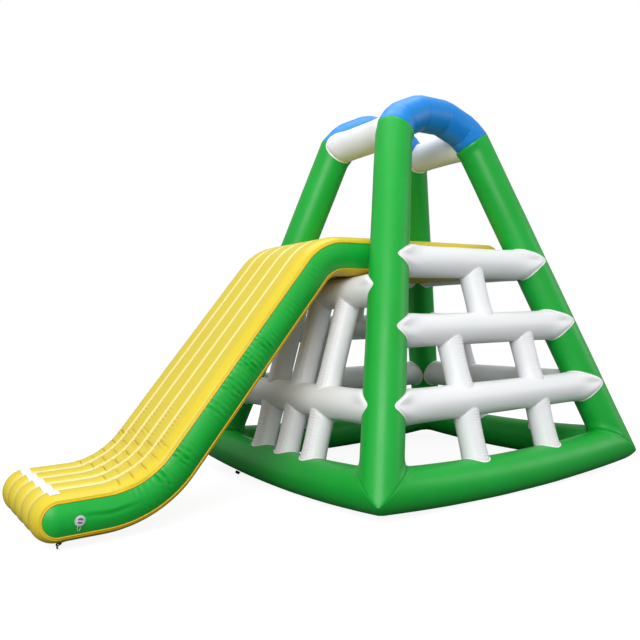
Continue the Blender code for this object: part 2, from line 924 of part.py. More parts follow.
def build_valve_cap():
    """The cap with two grip recesses, and the tether that swivels on the collar."""
    seat = valve_flange_thickness
    low = seat + valve_collar_height + gap
    high = low + valve_cap_thickness
    rim = valve_cap_diameter / 2
    plug = valve_plug_diameter / 2
    chamfer = valve_cap_thickness / 4
    cap = turned(
        "valve_cap",
        (
            (0, high),
            (rim - chamfer, high),
            (rim, high - chamfer),
            (rim, low),
            (plug, low),
            (plug, low - valve_plug_depth),
            (0, low - valve_plug_depth),
        ),
        "valve_grey",
    )
    for word, sign in (("upper", 1), ("lower", -1)):
        disc = bar_bmesh(valve_grip_diameter / 2, 2 * valve_grip_depth, valve_turned_steps)
        trim(disc, Vector((0, sign * valve_grip_bar / 2, 0)), Vector((0, -sign, 0)))
        grip = on_valve(add_cutter(f"cut_grip_{word}", disc))
        grip.location.z = high
        boolean(cap, "DIFFERENCE", grip)

    inner = valve_neck_diameter / 2 + stem_clearance
    outer = inner + valve_tether_ring_width
    ring_low = seat + gap
    ring_high = low - 2 * gap
    tether = turned(
        "valve_tether",
        (
            (inner, ring_low),
            (inner, ring_high),
            (outer, ring_high),
            (outer, ring_low),
            (inner, ring_low),
        ),
        "valve_grey",
    )
    wire = valve_tether_wire
    start_height = ring_low + wire / 2
    end_height = (low + high) / 2
    half = valve_tether_width / 2
    start_y = -math.sqrt(inner * inner - half * half / 4) - valve_tether_ring_width / 2
    end_y = -math.sqrt((rim + gap) * (rim + gap) - half * half / 4)
    fall_shares = (0, 0.30, 0.70, 0.93, 1, 0.93, 0.70, 0.35, 0)
    side_shares = (-0.5, -0.80, -0.85, -0.50, 0, 0.50, 0.85, 0.80, 0.5)
    rise_shares = (0, 0, 0.5, 1, 1, 1, 1, 1, 1)
    points = []
    for index, fall in enumerate(fall_shares):
        share = index / (len(fall_shares) - 1)
        top = start_y + (end_y - start_y) * share
        y = top + (-valve_tether_drop - top) * fall
        height = start_height + (end_height - start_height) * rise_shares[index]
        points.append((half * side_shares[index], y, height))
    boolean(tether, "UNION", on_valve(wire_cutter("add_tether_loop", points, wire)))


def ring_points_about_bar(inner_width, drop, wire):
    """A D-shaped ring's line: a bar along Y with a half-round hanging from it."""
    half = inner_width / 2 + wire / 2
    points = [(0, wire - half, 0), (0, half - wire, 0)]
    for index in range(ring_bend_steps + 1):
        turn = math.pi * index / ring_bend_steps
        low = -wire / 2 - (drop - wire / 2) * math.sin(turn)
        points.append((0, half * math.cos(turn), low))
    return points


def build_mooring(word, sy):
    """A webbing strap sloping down from under an outer channel to a ring."""
    channel = 2 * slide_half_width() / channel_count
    rear = Vector(
        (
            tower_x - nose_centre_reach + strap_from_nose_centre,
            sy * (slide_half_width() - channel / 2),
            runout_height - nose_radius - gap,
        )
    )
    plate_bm = box_bmesh((strap_plate_length, strap_plate_width, strap_thickness))
    strap = add_piece(f"mooring_strap_{word}", plate_bm, "webbing_black")
    strap.location = rear - Vector((strap_plate_length / 2, 0, strap_thickness / 2))
    eye = rear + Vector((-strap_plate_length / 2 - strap_run, 0, -strap_drop))
    fold = rear + Vector((-strap_plate_length / 2, 0, -strap_thickness))
    slope_bm = box_bmesh((strap_width, strap_thickness, (fold - eye).length))
    slope = span(add_cutter(f"add_mooring_slope_{word}", slope_bm), eye, fold)
    tunnel_bm = bar_bmesh(eye_bore_diameter / 2 + eye_wall, strap_width, eye_sides)
    tunnel = add_cutter(f"add_mooring_eye_{word}", tunnel_bm)
    bore_bm = bar_bmesh(eye_bore_diameter / 2, 2 * strap_width, eye_sides)
    bore = add_cutter(f"cut_mooring_eye_{word}", bore_bm)
    for thing in (tunnel, bore):
        thing.location = eye
        thing.rotation_euler = (math.pi / 2, 0, 0)
    boolean(strap, "UNION", slope)
    boolean(strap, "UNION", tunnel)
    boolean(strap, "DIFFERENCE", bore)
    points = ring_points_about_bar(ring_inner_width, ring_drop, ring_wire)
    ring = add_wire(f"mooring_ring_{word}", points, ring_wire, True, "ring_black")
    ring.location = eye - Vector((0, 0, (eye_bore_diameter - ring_wire) / 2 - wire_clearance))


def build_base_loop():
    """A webbing loop along the underside of the slide's base tube, cut to lie on it."""
    middle = base_point("slide_face", loop_across)
    tilt = math.pi / 2 - math.radians(loop_angle_deg)
    outward = Vector((-math.sin(tilt), 0, -math.cos(tilt)))
    seat = middle + outward * main_radius
    rise = 8 * base_bow * loop_across / (2 * base_half_width) ** 2
    plate_bm = box_bmesh((loop_plate_width, loop_plate_length, loop_plate_thickness))
    loop = add_piece("base_loop", plate_bm, "webbing_black")
    loop.location = seat
    loop.rotation_euler = (math.atan(rise), tilt, 0)
    tunnel_bm = bar_bmesh(loop_bore_diameter / 2 + loop_wall, loop_plate_width, eye_sides)
    tunnel = add_cutter("add_base_loop", tunnel_bm)
    bore_bm = bar_bmesh(loop_bore_diameter / 2, 2 * loop_plate_width, eye_sides)
    bore = add_cutter("cut_base_loop", bore_bm)
    for thing in (tunnel, bore):
        thing.location = seat + outward * (loop_plate_thickness + loop_bore_diameter / 2)
        thing.rotation_euler = (0, math.pi / 2 + tilt, 0)
    boolean(loop, "UNION", tunnel)
    boolean(loop, "DIFFERENCE", bore)
    boolean(loop, "DIFFERENCE", fat_bases["slide_face"])


clear_scene()
pieces, cutters = make_collections()
make_materials()
fat_legs, fat_bases = {}, {}
build_frame()
side_ladders = [
    build_ladder(face, ladder_strut_offset, strut_half_pitch) for face in ("near", "far")
]
build_ladder("back", back_strut_offset, back_strut_half_pitch, side_ladders)
build_slide_face(side_ladders)
slide_chamber, slide_wall_near = build_slide()
valve_axis = bpy.data.objects.new("valve_axis", None)
pieces.objects.link(valve_axis)
valve_axis.location = valve_centre()
valve_axis.rotation_euler = (math.pi / 2, math.radians(valve_tether_angle_deg), 0)
build_valve(slide_chamber, slide_wall_near)
build_valve_stem()
build_valve_cap()
build_mooring("near", -1)
build_mooring("far", 1)
build_base_loop()
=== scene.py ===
"""Looks of a floating climbing tower with a water slide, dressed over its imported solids.

Every inflated chamber gets a skin of its own: welded tubes with hooded ends and weld
lips, mitred legs and base tubes with creased seams, a channelled slide with puckered
bends, piped side walls, and the small valve, webbing and ring fittings.
"""

import logging
import math
from dataclasses import dataclass, field
from enum import Enum
from functools import cache, cached_property
from typing import Callable, Optional, Sequence

import bmesh
import bpy
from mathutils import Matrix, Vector, noise
from mathutils.bvhtree import BVHTree


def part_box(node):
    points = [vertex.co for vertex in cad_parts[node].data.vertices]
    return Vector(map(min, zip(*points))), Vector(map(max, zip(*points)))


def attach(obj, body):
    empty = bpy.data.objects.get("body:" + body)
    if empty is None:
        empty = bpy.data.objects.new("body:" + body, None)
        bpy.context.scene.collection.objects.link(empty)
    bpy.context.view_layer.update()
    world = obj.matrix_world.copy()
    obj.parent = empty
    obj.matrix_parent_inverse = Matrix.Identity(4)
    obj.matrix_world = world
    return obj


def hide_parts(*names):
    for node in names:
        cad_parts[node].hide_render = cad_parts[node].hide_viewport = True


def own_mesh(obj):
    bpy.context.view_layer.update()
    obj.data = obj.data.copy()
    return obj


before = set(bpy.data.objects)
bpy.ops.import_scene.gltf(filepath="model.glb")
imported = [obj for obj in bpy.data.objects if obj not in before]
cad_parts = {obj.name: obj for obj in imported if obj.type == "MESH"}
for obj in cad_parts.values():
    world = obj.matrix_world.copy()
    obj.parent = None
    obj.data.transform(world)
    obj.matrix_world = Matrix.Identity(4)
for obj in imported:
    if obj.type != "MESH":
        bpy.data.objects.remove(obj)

LOG = logging.getLogger("water_slide")

UP = Vector((0, 0, 1))
ACROSS = Vector((0, 1, 0))
TOWER_BODY = "tower_and_slide"
MIX_SHARE, MIX_FIRST, MIX_SECOND, MIX_RESULT = 0, 6, 7, 2

Mesh = bmesh.types.BMesh
Rim = list[bmesh.types.BMEdge]
Piece = bpy.types.Object
Socket = bpy.types.NodeSocket
Material = bpy.types.Material
Colour = tuple[float, float, float]
Spot = tuple[Vector, Vector]
Place = Callable[[int, int], Vector]
Cutter = Callable[[], Mesh]


# Finishes


@dataclass(frozen=True)
class Bump:
    """A layer of relief: its clouds or cells a metre, depth in metres and strength."""

    scale: float
    depth: float
    strength: float


@dataclass
class Sketch:
    """A node material being drawn."""

    name: str

    def __post_init__(self) -> None:
        """Makes the material with its shader."""
        self.material = bpy.data.materials.new(self.name)
        self.material.use_nodes = True
        self.tree = self.material.node_tree
        self.shader = self.tree.nodes["Principled BSDF"]
        self.places = self.add("ShaderNodeTexCoord").outputs["Object"]

    def join(self, node: bpy.types.Node, **inputs: object) -> bpy.types.Node:
        """Links or sets a node's inputs.

        Args:
            node: The node.
            inputs: Outputs or values, by input name with underscores for spaces.

        Returns:
            The node.
        """
        for label, value in inputs.items():
            socket = node.inputs[label.replace("_", " ")]
            if isinstance(value, Socket):
                self.tree.links.new(value, socket)
            else:
                socket.default_value = value
        return node

    def add(self, kind: str, **inputs: object) -> bpy.types.Node:
        """Adds a node of a type with its inputs."""
        return self.join(self.tree.nodes.new(kind), **inputs)

    def done(self, **inputs: object) -> Material:
        """Gives the shader its inputs, and returns the material."""
        self.join(self.shader, **inputs)
        return self.material

    def cloud(self, scale: float, detail: float = 3, rough: float = 0.5) -> Socket:
        """A soft noise over the object's own coordinates.

        Args:
            scale: How many clouds a metre.
            detail: How many finer layers.
            rough: How strong the finer layers are.

        Returns:
            The noise's value.
        """
        kind = "ShaderNodeTexNoise"
        node = self.add(kind, Vector=self.places, Scale=scale, Detail=detail, Roughness=rough)
        return node.outputs["Fac"]

    def spread(
        self, value: Socket, low: float, high: float, start: float = 0.3, end: float = 0.7
    ) -> Socket:
        """Maps a value's range, a noise's middle one by default, onto new limits.

        Args:
            value: The value to map.
            low: The result at the range's start.
            high: The result at the range's end.
            start: Where the range starts.
            end: Where the range ends.

        Returns:
            The mapped value.
        """
        kind = "ShaderNodeMapRange"
        limits = {"From_Min": start, "From_Max": end, "To_Min": low, "To_Max": high}
        return self.add(kind, Value=value, **limits).outputs["Result"]

    def blend(self, share: Socket, first: Colour | Socket, second: Colour) -> Socket:
        """Mixes two linear colours, with a share of the second one."""
        node = self.add("ShaderNodeMix")
        node.data_type = "RGBA"
        for index, value in ((MIX_SHARE, share), (MIX_FIRST, first), (MIX_SECOND, second)):
            if isinstance(value, Socket):
                self.tree.links.new(value, node.inputs[index])
            else:
                node.inputs[index].default_value = (*value, 1)
        return node.outputs[MIX_RESULT]

    def marked(self, name: str) -> Socket:
        """The mesh's own mark of a name, from 0 to 1."""
        node = self.add("ShaderNodeAttribute")
        node.attribute_name = name
        return node.outputs["Fac"]

    def relief(
        self, bump: Bump, height: Optional[Socket] = None, under: Optional[Socket] = None
    ) -> Socket:
        """A bump layer.

        Args:
            bump: Its sizes.
            height: The height field, from 0 to 1, or None for clouds of the bump's scale.
            under: The layer beneath it.

        Returns:
            The bent normal.
        """
        sources = {"Height": self.cloud(bump.scale, 2) if height is None else height}
        if under is not None:
            sources["Normal"] = under
        node = self.add("ShaderNodeBump", Strength=bump.strength, Distance=bump.depth, **sources)
        return node.outputs["Normal"]


@dataclass(frozen=True)
class Coating:
    """What every finish has.

    Args:
        name: The finish's name.
        colour: Its colour, linear.
        shade: Its other colour: faded, pressed, scuffed, or between yarns.
    """

    name: str
    colour: Colour
    shade: Colour

    def mottled(self, sketch: Sketch, scale: float, detail: float) -> Socket:
        """The two colours in soft clouds."""
        share = sketch.spread(sketch.cloud(scale, detail), 0, 1)
        return sketch.blend(share, self.colour, self.shade)


@dataclass(frozen=True)
class Tarpaulin(Coating):
    """Coated welded tarpaulin over woven base cloth.

    Args:
        roughness: The mean roughness.
        gloss: How strongly it mirrors.
        seam: The colour of its pale weld lines, with a painted highlight along them, where the
            mesh marks them.
        fold: The colour of painted shade in folds and of the painted amber glow on the underside,
            where the mesh marks them.
        tones: The scale and detail of its faded patches.
        marks: The scale, detail and roughness of its handling marks.
        rough: How much smoother and rougher than its mean roughness it gets.
        swell: The inflated skin's soft unevenness.
        pull: The cloth's fine pulls.
        weave: The cloth's weave.
        coat: How strong and how rough the clear coat is.
    """

    roughness: float = 0.42
    gloss: float = 0.38
    seam: Optional[Colour] = None
    fold: Optional[Colour] = None
    tones: tuple[float, float] = (1.7, 4)
    marks: tuple[float, float, float] = (5.5, 6, 0.62)
    rough: tuple[float, float] = (0.05, 0.07)
    swell: Bump = Bump(9, 0.0022, 0.35)
    pull: Bump = Bump(38, 0.0006, 0.30)
    weave: Bump = Bump(420, 0.00012, 0.35)
    coat: tuple[float, float] = (0.06, 0.18)

    def material(self) -> Material:
        """Draws the finish: coating, base cloth, handling marks and unevenness."""
        sketch = Sketch(self.name)
        colour = self.mottled(sketch, *self.tones)
        if self.seam and self.fold:
            # Painted highlight along the weld lines, then painted shade in folds and painted amber
            # glow on the underside.
            colour = sketch.blend(sketch.marked("seam"), colour, self.seam)
            colour = sketch.blend(sketch.marked("fold"), colour, self.fold)
        smooth, worn = self.roughness - self.rough[0], self.roughness + self.rough[1]
        pulled = sketch.relief(self.pull, under=sketch.relief(self.swell))
        kind = "ShaderNodeTexVoronoi"
        cells = sketch.add(kind, Vector=sketch.places, Scale=self.weave.scale)
        return sketch.done(
            Base_Color=colour,
            Roughness=sketch.spread(sketch.cloud(*self.marks), smooth, worn),
            Normal=sketch.relief(self.weave, cells.outputs["Distance"], pulled),
            Specular_IOR_Level=self.gloss,
            Coat_Weight=self.coat[0],
            Coat_Roughness=self.coat[1],
        )


@dataclass(frozen=True)
class WeldTape(Coating):
    """A weld's pressed rim or film, smoother and paler than the cloth.

    Args:
        marks: The scale and detail of its marks.
        patches: The scale and detail of its roughness.
        rough: Its lowest and highest roughness.
        grain: Its fine relief.
    """

    marks: tuple[float, float] = (60, 2)
    patches: tuple[float, float] = (25, 3)
    rough: tuple[float, float] = (0.26, 0.38)
    grain: Bump = Bump(220, 0.0003, 0.4)

    def material(self) -> Material:
        """Draws the finish with its marks and fine grain."""
        sketch = Sketch(self.name)
        return sketch.done(
            Base_Color=self.mottled(sketch, *self.marks),
            Roughness=sketch.spread(sketch.cloud(*self.patches), *self.rough),
            Normal=sketch.relief(self.grain),
        )


@dataclass(frozen=True)
class Moulded(WeldTape):
    """Moulded plastic with scuffs and a finer grain."""

    marks: tuple[float, float] = (90, 4)
    patches: tuple[float, float] = (140, 3)
    rough: tuple[float, float] = (0.34, 0.48)
    grain: Bump = Bump(900, 0.0001, 0.3)


@dataclass(frozen=True)
class Webbing(Coating):
    """Woven webbing, with its yarn's clouds a metre and roughness, and its ribs."""

    yarn: float = 300
    rough: tuple[float, float] = (0.66, 0.86)
    ribs: Bump = Bump(210, 0.0004, 0.7)

    def material(self) -> Material:
        """Draws the finish: ribs along and across, with dull yarn."""
        sketch = Sketch(self.name)
        weft = sketch.add("ShaderNodeTexWave", Vector=sketch.places, Scale=self.ribs.scale)
        weft.bands_direction = "DIAGONAL"
        wave = weft.outputs["Fac"]
        return sketch.done(
            Base_Color=sketch.blend(wave, self.shade, self.colour),
            Roughness=sketch.spread(sketch.cloud(self.yarn, 2), *self.rough),
            Normal=sketch.relief(self.ribs, wave),
        )


@dataclass(frozen=True)
class DrawnWire(Coating):
    """Drawn steel wire, with its drawing marks a metre and roughness."""

    marks: float = 1500
    rough: tuple[float, float] = (0.22, 0.36)

    def material(self) -> Material:
        """Draws the finish with fine drawing marks."""
        sketch = Sketch(self.name)
        marks = sketch.cloud(self.marks, 2)
        return sketch.done(
            Base_Color=sketch.blend(sketch.spread(marks, 0, 1), self.shade, self.colour),
            Roughness=sketch.spread(marks, *self.rough),
            Metallic=1,
        )


class Finish(Enum):
    """The finishes of the tower and its slide, with the record's slot of each."""

    GREEN = "pvc_green"
    WHITE = "pvc_white"
    BLUE = "pvc_blue"
    YELLOW = "pvc_yellow"
    BAND = "band_white"
    VALVE = "valve_grey"
    # Painted shade in the valve cap's grip recesses.
    GRIP = "valve_grip"
    SPRING = "spring_steel"
    WEBBING = "webbing_black"
    RING = "ring_black"
    WELD = "weld_rim"
    PIPING = "piping_yellow"


FINISHES: dict[Finish, Coating] = {
    Finish.GREEN: Tarpaulin("green_tarpaulin", (0.004, 0.355, 0.030), (0.006, 0.40, 0.042)),
    Finish.WHITE: Tarpaulin("white_tarpaulin", (0.85, 0.86, 0.875), (0.82, 0.835, 0.85)),
    Finish.BLUE: Tarpaulin("blue_tarpaulin", (0.003, 0.21, 0.66), (0.004, 0.25, 0.72)),
    Finish.YELLOW: Tarpaulin(
        "yellow_tarpaulin",
        (0.71, 0.565, 0.038),
        (0.69, 0.545, 0.033),
        roughness=0.33,
        gloss=0.25,
        # Pale weld line colour, carrying a painted highlight.
        seam=(0.78, 0.72, 0.38),
        # Painted shade in folds and painted amber glow on the underside.
        fold=(0.58, 0.35, 0.008),
    ),
    Finish.BAND: WeldTape("band_film", (0.86, 0.84, 0.90), (0.83, 0.82, 0.88)),
    Finish.VALVE: Moulded("valve_plastic", (0.60, 0.60, 0.66), (0.52, 0.53, 0.59)),
    # Painted shade for the floors of the valve cap's grip recesses.
    Finish.GRIP: Moulded("valve_grip_painted_shade", (0.16, 0.165, 0.19), (0.12, 0.125, 0.15)),
    Finish.SPRING: DrawnWire("spring_wire", (0.56, 0.56, 0.58), (0.448, 0.448, 0.464)),
    Finish.WEBBING: Webbing("black_webbing", (0.030, 0.030, 0.032), (0.008, 0.008, 0.009)),
    Finish.RING: Moulded(
        "ring_plastic", (0.016, 0.016, 0.018), (0.030, 0.030, 0.033), rough=(0.28, 0.42)
    ),
    Finish.WELD: WeldTape("weld_rim_white", (0.98, 0.93, 0.95), (0.95, 0.89, 0.92)),
    Finish.PIPING: Tarpaulin("yellow_piping", (0.92, 0.50, 0.012), (0.88, 0.46, 0.012), 0.32),
}


@cache
def paint(finish: Finish) -> Material:
    """The material of a finish, drawn once."""
    return FINISHES[finish].material()


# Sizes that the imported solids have


def flank(sy: int) -> str:
    """The word for a side across the slide."""
    return "near" if sy < 0 else "far"


def end_word(sx: int) -> str:
    """The word for an end along the slide."""
    return "slide" if sx < 0 else "back"


@dataclass(frozen=True)
class TowerPlan:
    """The tower's tube axes and radii, in metres."""

    main_radius: float = 0.170
    rung_radius: float = 0.140
    strut_radius: float = 0.1075
    bridge_radius: float = 0.1475
    base_half_length: float = 1.475
    base_half_width: float = 1.325
    base_bow: float = 0.060
    base_steps: int = 12
    corner_height: float = 0.225
    shoulder_height: float = 3.240
    shoulder_half_length: float = 0.513
    shoulder_half_width: float = 0.453
    haunch_half_length: float = 0.416
    haunch_rise: float = 0.106
    crown_half_length: float = 0.158
    crown_rise: float = 0.2185
    rung_heights: tuple[float, float, float] = (1.995, 1.400, 0.800)
    slide_rung_heights: tuple[float, float] = (1.7407, 0.800)

    @cached_property
    def centre_x(self) -> float:
        """Where the tower's middle is along the slide."""
        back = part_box("base_tube_back")[1].x
        return back - self.base_half_length - self.main_radius

    @property
    def rise(self) -> float:
        """The height of the legs' axes."""
        return self.shoulder_height - self.corner_height

    def corner(self, sx: int, sy: int) -> Vector:
        """Where a leg's axis meets the base tubes' axes."""
        return self.leg_point(sx, sy, self.corner_height)

    def leg_point(self, sx: int, sy: int, height: float) -> Vector:
        """A leg's axis at a height."""
        share = (height - self.corner_height) / self.rise
        x = self.base_half_length + (self.shoulder_half_length - self.base_half_length) * share
        y = self.base_half_width + (self.shoulder_half_width - self.base_half_width) * share
        return Vector((self.centre_x + sx * x, sy * y, height))

    def leg_way(self, sx: int, sy: int) -> Vector:
        """The upward way of a leg."""
        return (self.leg_point(sx, sy, self.shoulder_height) - self.corner(sx, sy)).normalized()

    def base_point(self, start: Vector, end: Vector, share: float) -> Vector:
        """A point on a bowed base tube's axis."""
        return start.lerp(end, share) - UP * (self.base_bow * 4 * share * (1 - share))

    def base_way(self, start: Vector, end: Vector) -> Vector:
        """The way in which a base tube leaves its first corner."""
        return (self.base_point(start, end, 1 / self.base_steps) - start).normalized()

    def arch_stops(self, sy: int) -> list[Vector]:
        """The corners of an arch's axis, from the slide's side to the back."""
        lean = (self.base_half_width - self.shoulder_half_width) / self.rise
        half = [
            (self.shoulder_half_length, 0.0),
            (self.haunch_half_length, self.haunch_rise),
            (self.crown_half_length, self.crown_rise),
        ]
        stops = []
        for x, rise in [(-x, rise) for x, rise in half] + half[::-1]:
            y = sy * (self.shoulder_half_width - lean * rise)
            stops.append(Vector((self.centre_x + x, y, self.shoulder_height + rise)))
        return stops


class Side(Enum):
    """A side of the tower: its word, its corners and which way round it faces."""

    NEAR = ("near", (-1, -1), (1, -1), 1)
    FAR = ("far", (-1, 1), (1, 1), -1)
    BACK = ("back", (1, -1), (1, 1), 1)
    SLIDE = ("slide", (-1, -1), (-1, 1), -1)

    @property
    def word(self) -> str:
        """The side's name in its pieces' names."""
        return self.value[0]

    @property
    def ends(self) -> tuple[tuple[int, int], tuple[int, int]]:
        """The signs of the two corners."""
        return self.value[1], self.value[2]

    def span(self, plan: TowerPlan, height: float) -> Spot:
        """The two legs' axes at a height."""
        first, second = self.ends
        return plan.leg_point(*first, height), plan.leg_point(*second, height)

    def along(self, plan: TowerPlan) -> Vector:
        """The level way from the first corner to the second."""
        start, end = self.span(plan, plan.corner_height)
        return (end - start).normalized()

    def outward(self, plan: TowerPlan) -> Vector:
        """The way out of the side's leaning plane."""
        return self.along(plan).cross(plan.leg_way(*self.ends[0])).normalized() * self.value[3]

    def point(self, plan: TowerPlan, across: float, height: float) -> Vector:
        """A point in the side's plane, so far along from its middle."""
        start, end = self.span(plan, height)
        return (start + end) / 2 + (end - start).normalized() * across

    def foot(self, plan: TowerPlan, across: float) -> Vector:
        """A point on the side's base tube, so far along from its middle."""
        start, end = self.span(plan, plan.corner_height)
        return plan.base_point(start, end, 0.5 + across / (end - start).length)


# Mesh making


def ease(share: float) -> float:
    """A smooth step from 0 to 1."""
    share = min(1.0, max(0.0, share))
    return share * share * (3 - 2 * share)


def bell(distance: float, reach: float) -> float:
    """A bell curve that is 1 at no distance."""
    return math.exp(-((distance / reach) ** 2))


def close_ends(share: float, pull: float = 0.6) -> float:
    """Moves evenly spread shares toward both ends, for finer rows at the welds."""
    return (1 - pull) * share + pull * (0.5 - 0.5 * math.cos(math.pi * share))


def stir(point: Vector, scale: float, seed: float) -> float:
    """Smooth noise from -1 to 1, the same on every run."""
    return noise.noise(point * scale + Vector((seed, seed * 1.7, -seed)))


def stir_flat(x: float, y: float, scale: float, seed: float) -> float:
    """Smooth noise over two values, from -1 to 1."""
    return stir(Vector((x, y, 0)), scale, seed)


@dataclass(frozen=True)
class Stretch:
    """A stretch between two marks, with soft ends.

    Args:
        opens: Where it opens after the first mark.
        rise: Over what length it opens.
        closes: Where it is closed after the second mark.
        fall: Over what length it closes.
    """

    opens: float
    rise: float
    closes: float
    fall: float

    def at(self, value: float, first: float, second: float) -> float:
        """How open it is at a value, from 0 to 1, with its marks there."""
        opened = ease((value - first - self.opens) / self.rise)
        return opened * ease((second + self.closes - value) / self.fall)


def turned(first: Vector, second: Vector, angle: float) -> Vector:
    """The first way turned by an angle towards the second."""
    return first * math.cos(angle) + second * math.sin(angle)


def tipped(turn: float) -> Vector:
    """The upward way tipped towards the slide's nose."""
    return Vector((-math.sin(turn), 0, math.cos(turn)))


def sleeve(turns: int, rows: int, place: Place) -> Mesh:
    """An open sleeve of quads, shaped by a rule.

    Args:
        turns: Points round the sleeve.
        rows: Rows of quads along it.
        place: Gives each point's place from its turn and row.

    Returns:
        The sleeve, each point marked with its turn.
    """
    bm = bmesh.new()
    bmesh.ops.create_cone(bm, segments=turns, radius1=1, radius2=1, depth=1)
    lengthwise = [e for e in bm.edges if abs(e.verts[0].co.z - e.verts[1].co.z) > 0.5]
    bmesh.ops.subdivide_edges(bm, edges=lengthwise, cuts=rows - 1)
    mark = bm.verts.layers.int.new("turn")
    for vert in bm.verts:
        turn = round(math.atan2(vert.co.y, vert.co.x) / math.tau * turns) % turns
        vert[mark] = turn
        vert.co = place(turn, round((vert.co.z + 0.5) * rows))
    return bm


def sheet(rows: int, columns: int, place: Place) -> Mesh:
    """An open sheet of quads, with each point's place from its row and column."""
    bm = bmesh.new()
    bmesh.ops.create_grid(bm, x_segments=rows, y_segments=columns, size=0.5)
    for vert in bm.verts:
        vert.co = place(round((vert.co.x + 0.5) * rows), round((vert.co.y + 0.5) * columns))
    return bm


def grow_rim(bm: Mesh, rim: Rim, place: Callable[[int], Vector], material: int = 0) -> Rim:
    """Extrudes an open rim and places its new points.

    Args:
        bm: The mesh.
        rim: The rim's edges.
        place: Gives each new point's place from its turn.
        material: The new faces' material index.

    Returns:
        The new rim.
    """
    mark = bm.verts.layers.int["turn"]
    fresh = set()
    edges = []
    for thing in bmesh.ops.extrude_edge_only(bm, edges=rim)["geom"]:
        if isinstance(thing, bmesh.types.BMVert):
            fresh.add(thing)
            thing.co = place(thing[mark])
        elif isinstance(thing, bmesh.types.BMEdge):
            edges.append(thing)
        else:
            thing.material_index = material
    return [e for e in edges if e.is_boundary and e.verts[0] in fresh and e.verts[1] in fresh]


def open_rims(bm: Mesh, near: Sequence[Vector]) -> list[Rim]:
    """The edges of a sleeve's open rims, one nearest to each given point."""
    rims: list[Rim] = [[] for _ in near]
    for edge in bm.edges:
        if edge.is_boundary:
            middle = (edge.verts[0].co + edge.verts[1].co) / 2
            nearest = min(range(len(near)), key=lambda index: (middle - near[index]).length)
            rims[nearest].append(edge)
    return rims


def cap_rims(bm: Mesh) -> None:
    """Closes every open rim with one face."""
    bmesh.ops.holes_fill(bm, edges=[e for e in bm.edges if e.is_boundary], sides=0)


def face_out(bm: Mesh) -> None:
    """Turns a closed mesh's faces outward."""
    bm.normal_update()
    bmesh.ops.recalc_face_normals(bm, faces=bm.faces[:])


def link(name: str, data: bpy.types.ID) -> Piece:
    """Puts an object with this data into the scene."""
    thing = bpy.data.objects.new(name, data)
    bpy.context.scene.collection.objects.link(thing)
    return thing


def put(name: str, bm: Mesh) -> Piece:
    """Puts a mesh into the scene as an object, and frees it."""
    mesh = bpy.data.meshes.new(name)
    bm.to_mesh(mesh)
    bm.free()
    return link(name, mesh)


def finish_piece(
    name: str,
    bm: Mesh,
    finishes: Sequence[Finish],
    replaced: Sequence[str] = (),
    body: str = TOWER_BODY,
    sharp: float = 50,
) -> Piece:
    """Turns a mesh into a piece that rides on its body.

    Args:
        name: The piece's name.
        bm: The mesh, freed here.
        finishes: The finish of each material index.
        replaced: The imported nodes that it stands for.
        body: The body that it rides on.
        sharp: The angle in degrees above which an edge stays sharp.

    Returns:
        The piece.
    """
    face_out(bm)
    piece = put(name, bm)
    mesh = piece.data
    mesh.shade_smooth()
    mesh.set_sharp_from_angle(angle=math.radians(sharp))
    for finish in finishes:
        mesh.materials.append(paint(finish))
    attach(piece, body)
    if replaced:
        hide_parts(*replaced)
    LOG.info("%s: %d faces, for %s", name, len(mesh.polygons), ", ".join(replaced) or "trim")
    return piece


def carve(piece: Piece, cutter: Mesh) -> None:
    """Cuts a shape, freed here, out of a piece for good."""
    face_out(cutter)
    tool = put("cutter", cutter)
    mesh = tool.data
    step = piece.modifiers.new("cut", "BOOLEAN")
    step.operation = "DIFFERENCE"
    step.solver = "EXACT"
    step.object = tool
    bpy.context.view_layer.update()
    graph = bpy.context.evaluated_depsgraph_get()
    made = bpy.data.meshes.new_from_object(piece.evaluated_get(graph))
    piece.modifiers.remove(step)
    piece.data = made
    bpy.data.objects.remove(tool)
    bpy.data.meshes.remove(mesh)


def skin_tree(piece: Piece) -> BVHTree:
    """A search tree over a piece's faces, in the same order on every run."""
    mesh = piece.data
    faces = sorted(mesh.polygons, key=lambda face: tuple(face.center))
    points = [vert.co for vert in mesh.vertices]
    return BVHTree.FromPolygons(points, [tuple(face.vertices) for face in faces])


@dataclass
class Hosts:
    """Finished tubes that later ones are welded to."""

    trees: list[BVHTree]
    stride: float = 0.01
    strides: int = 200

    def hit(self, origin: Vector, way: Vector) -> Spot:
        """Where a ray first meets a host, or where it passes closest if it misses.

        Args:
            origin: The ray's start.
            way: The ray's way.

        Returns:
            The place and the host's outward normal there.
        """
        casts = [tree.ray_cast(origin, way) for tree in self.trees]
        met = [cast for cast in casts if cast[0] is not None]
        if met:
            place, normal, _, _ = min(met, key=lambda cast: cast[3])
            return place, normal
        walk = [origin + way * (self.stride * step) for step in range(self.strides)]
        return self.nearest(min(walk, key=lambda point: (self.nearest(point)[0] - point).length))

    def nearest(self, point: Vector) -> Spot:
        """The nearest place on a host and the outward normal there."""
        found = [tree.find_nearest(point) for tree in self.trees]
        place, normal, _, _ = min(found, key=lambda hit: hit[3])
        return place, normal

    def above(self, point: Vector, height: float) -> Vector:
        """The point itself, or the one above a host's skin where it would sink in."""
        place, normal = self.nearest(point)
        depth = (point - place).dot(normal)
        return point if depth > height else point + normal * (height - depth)


# Mitred tubes: legs, base tubes and arches


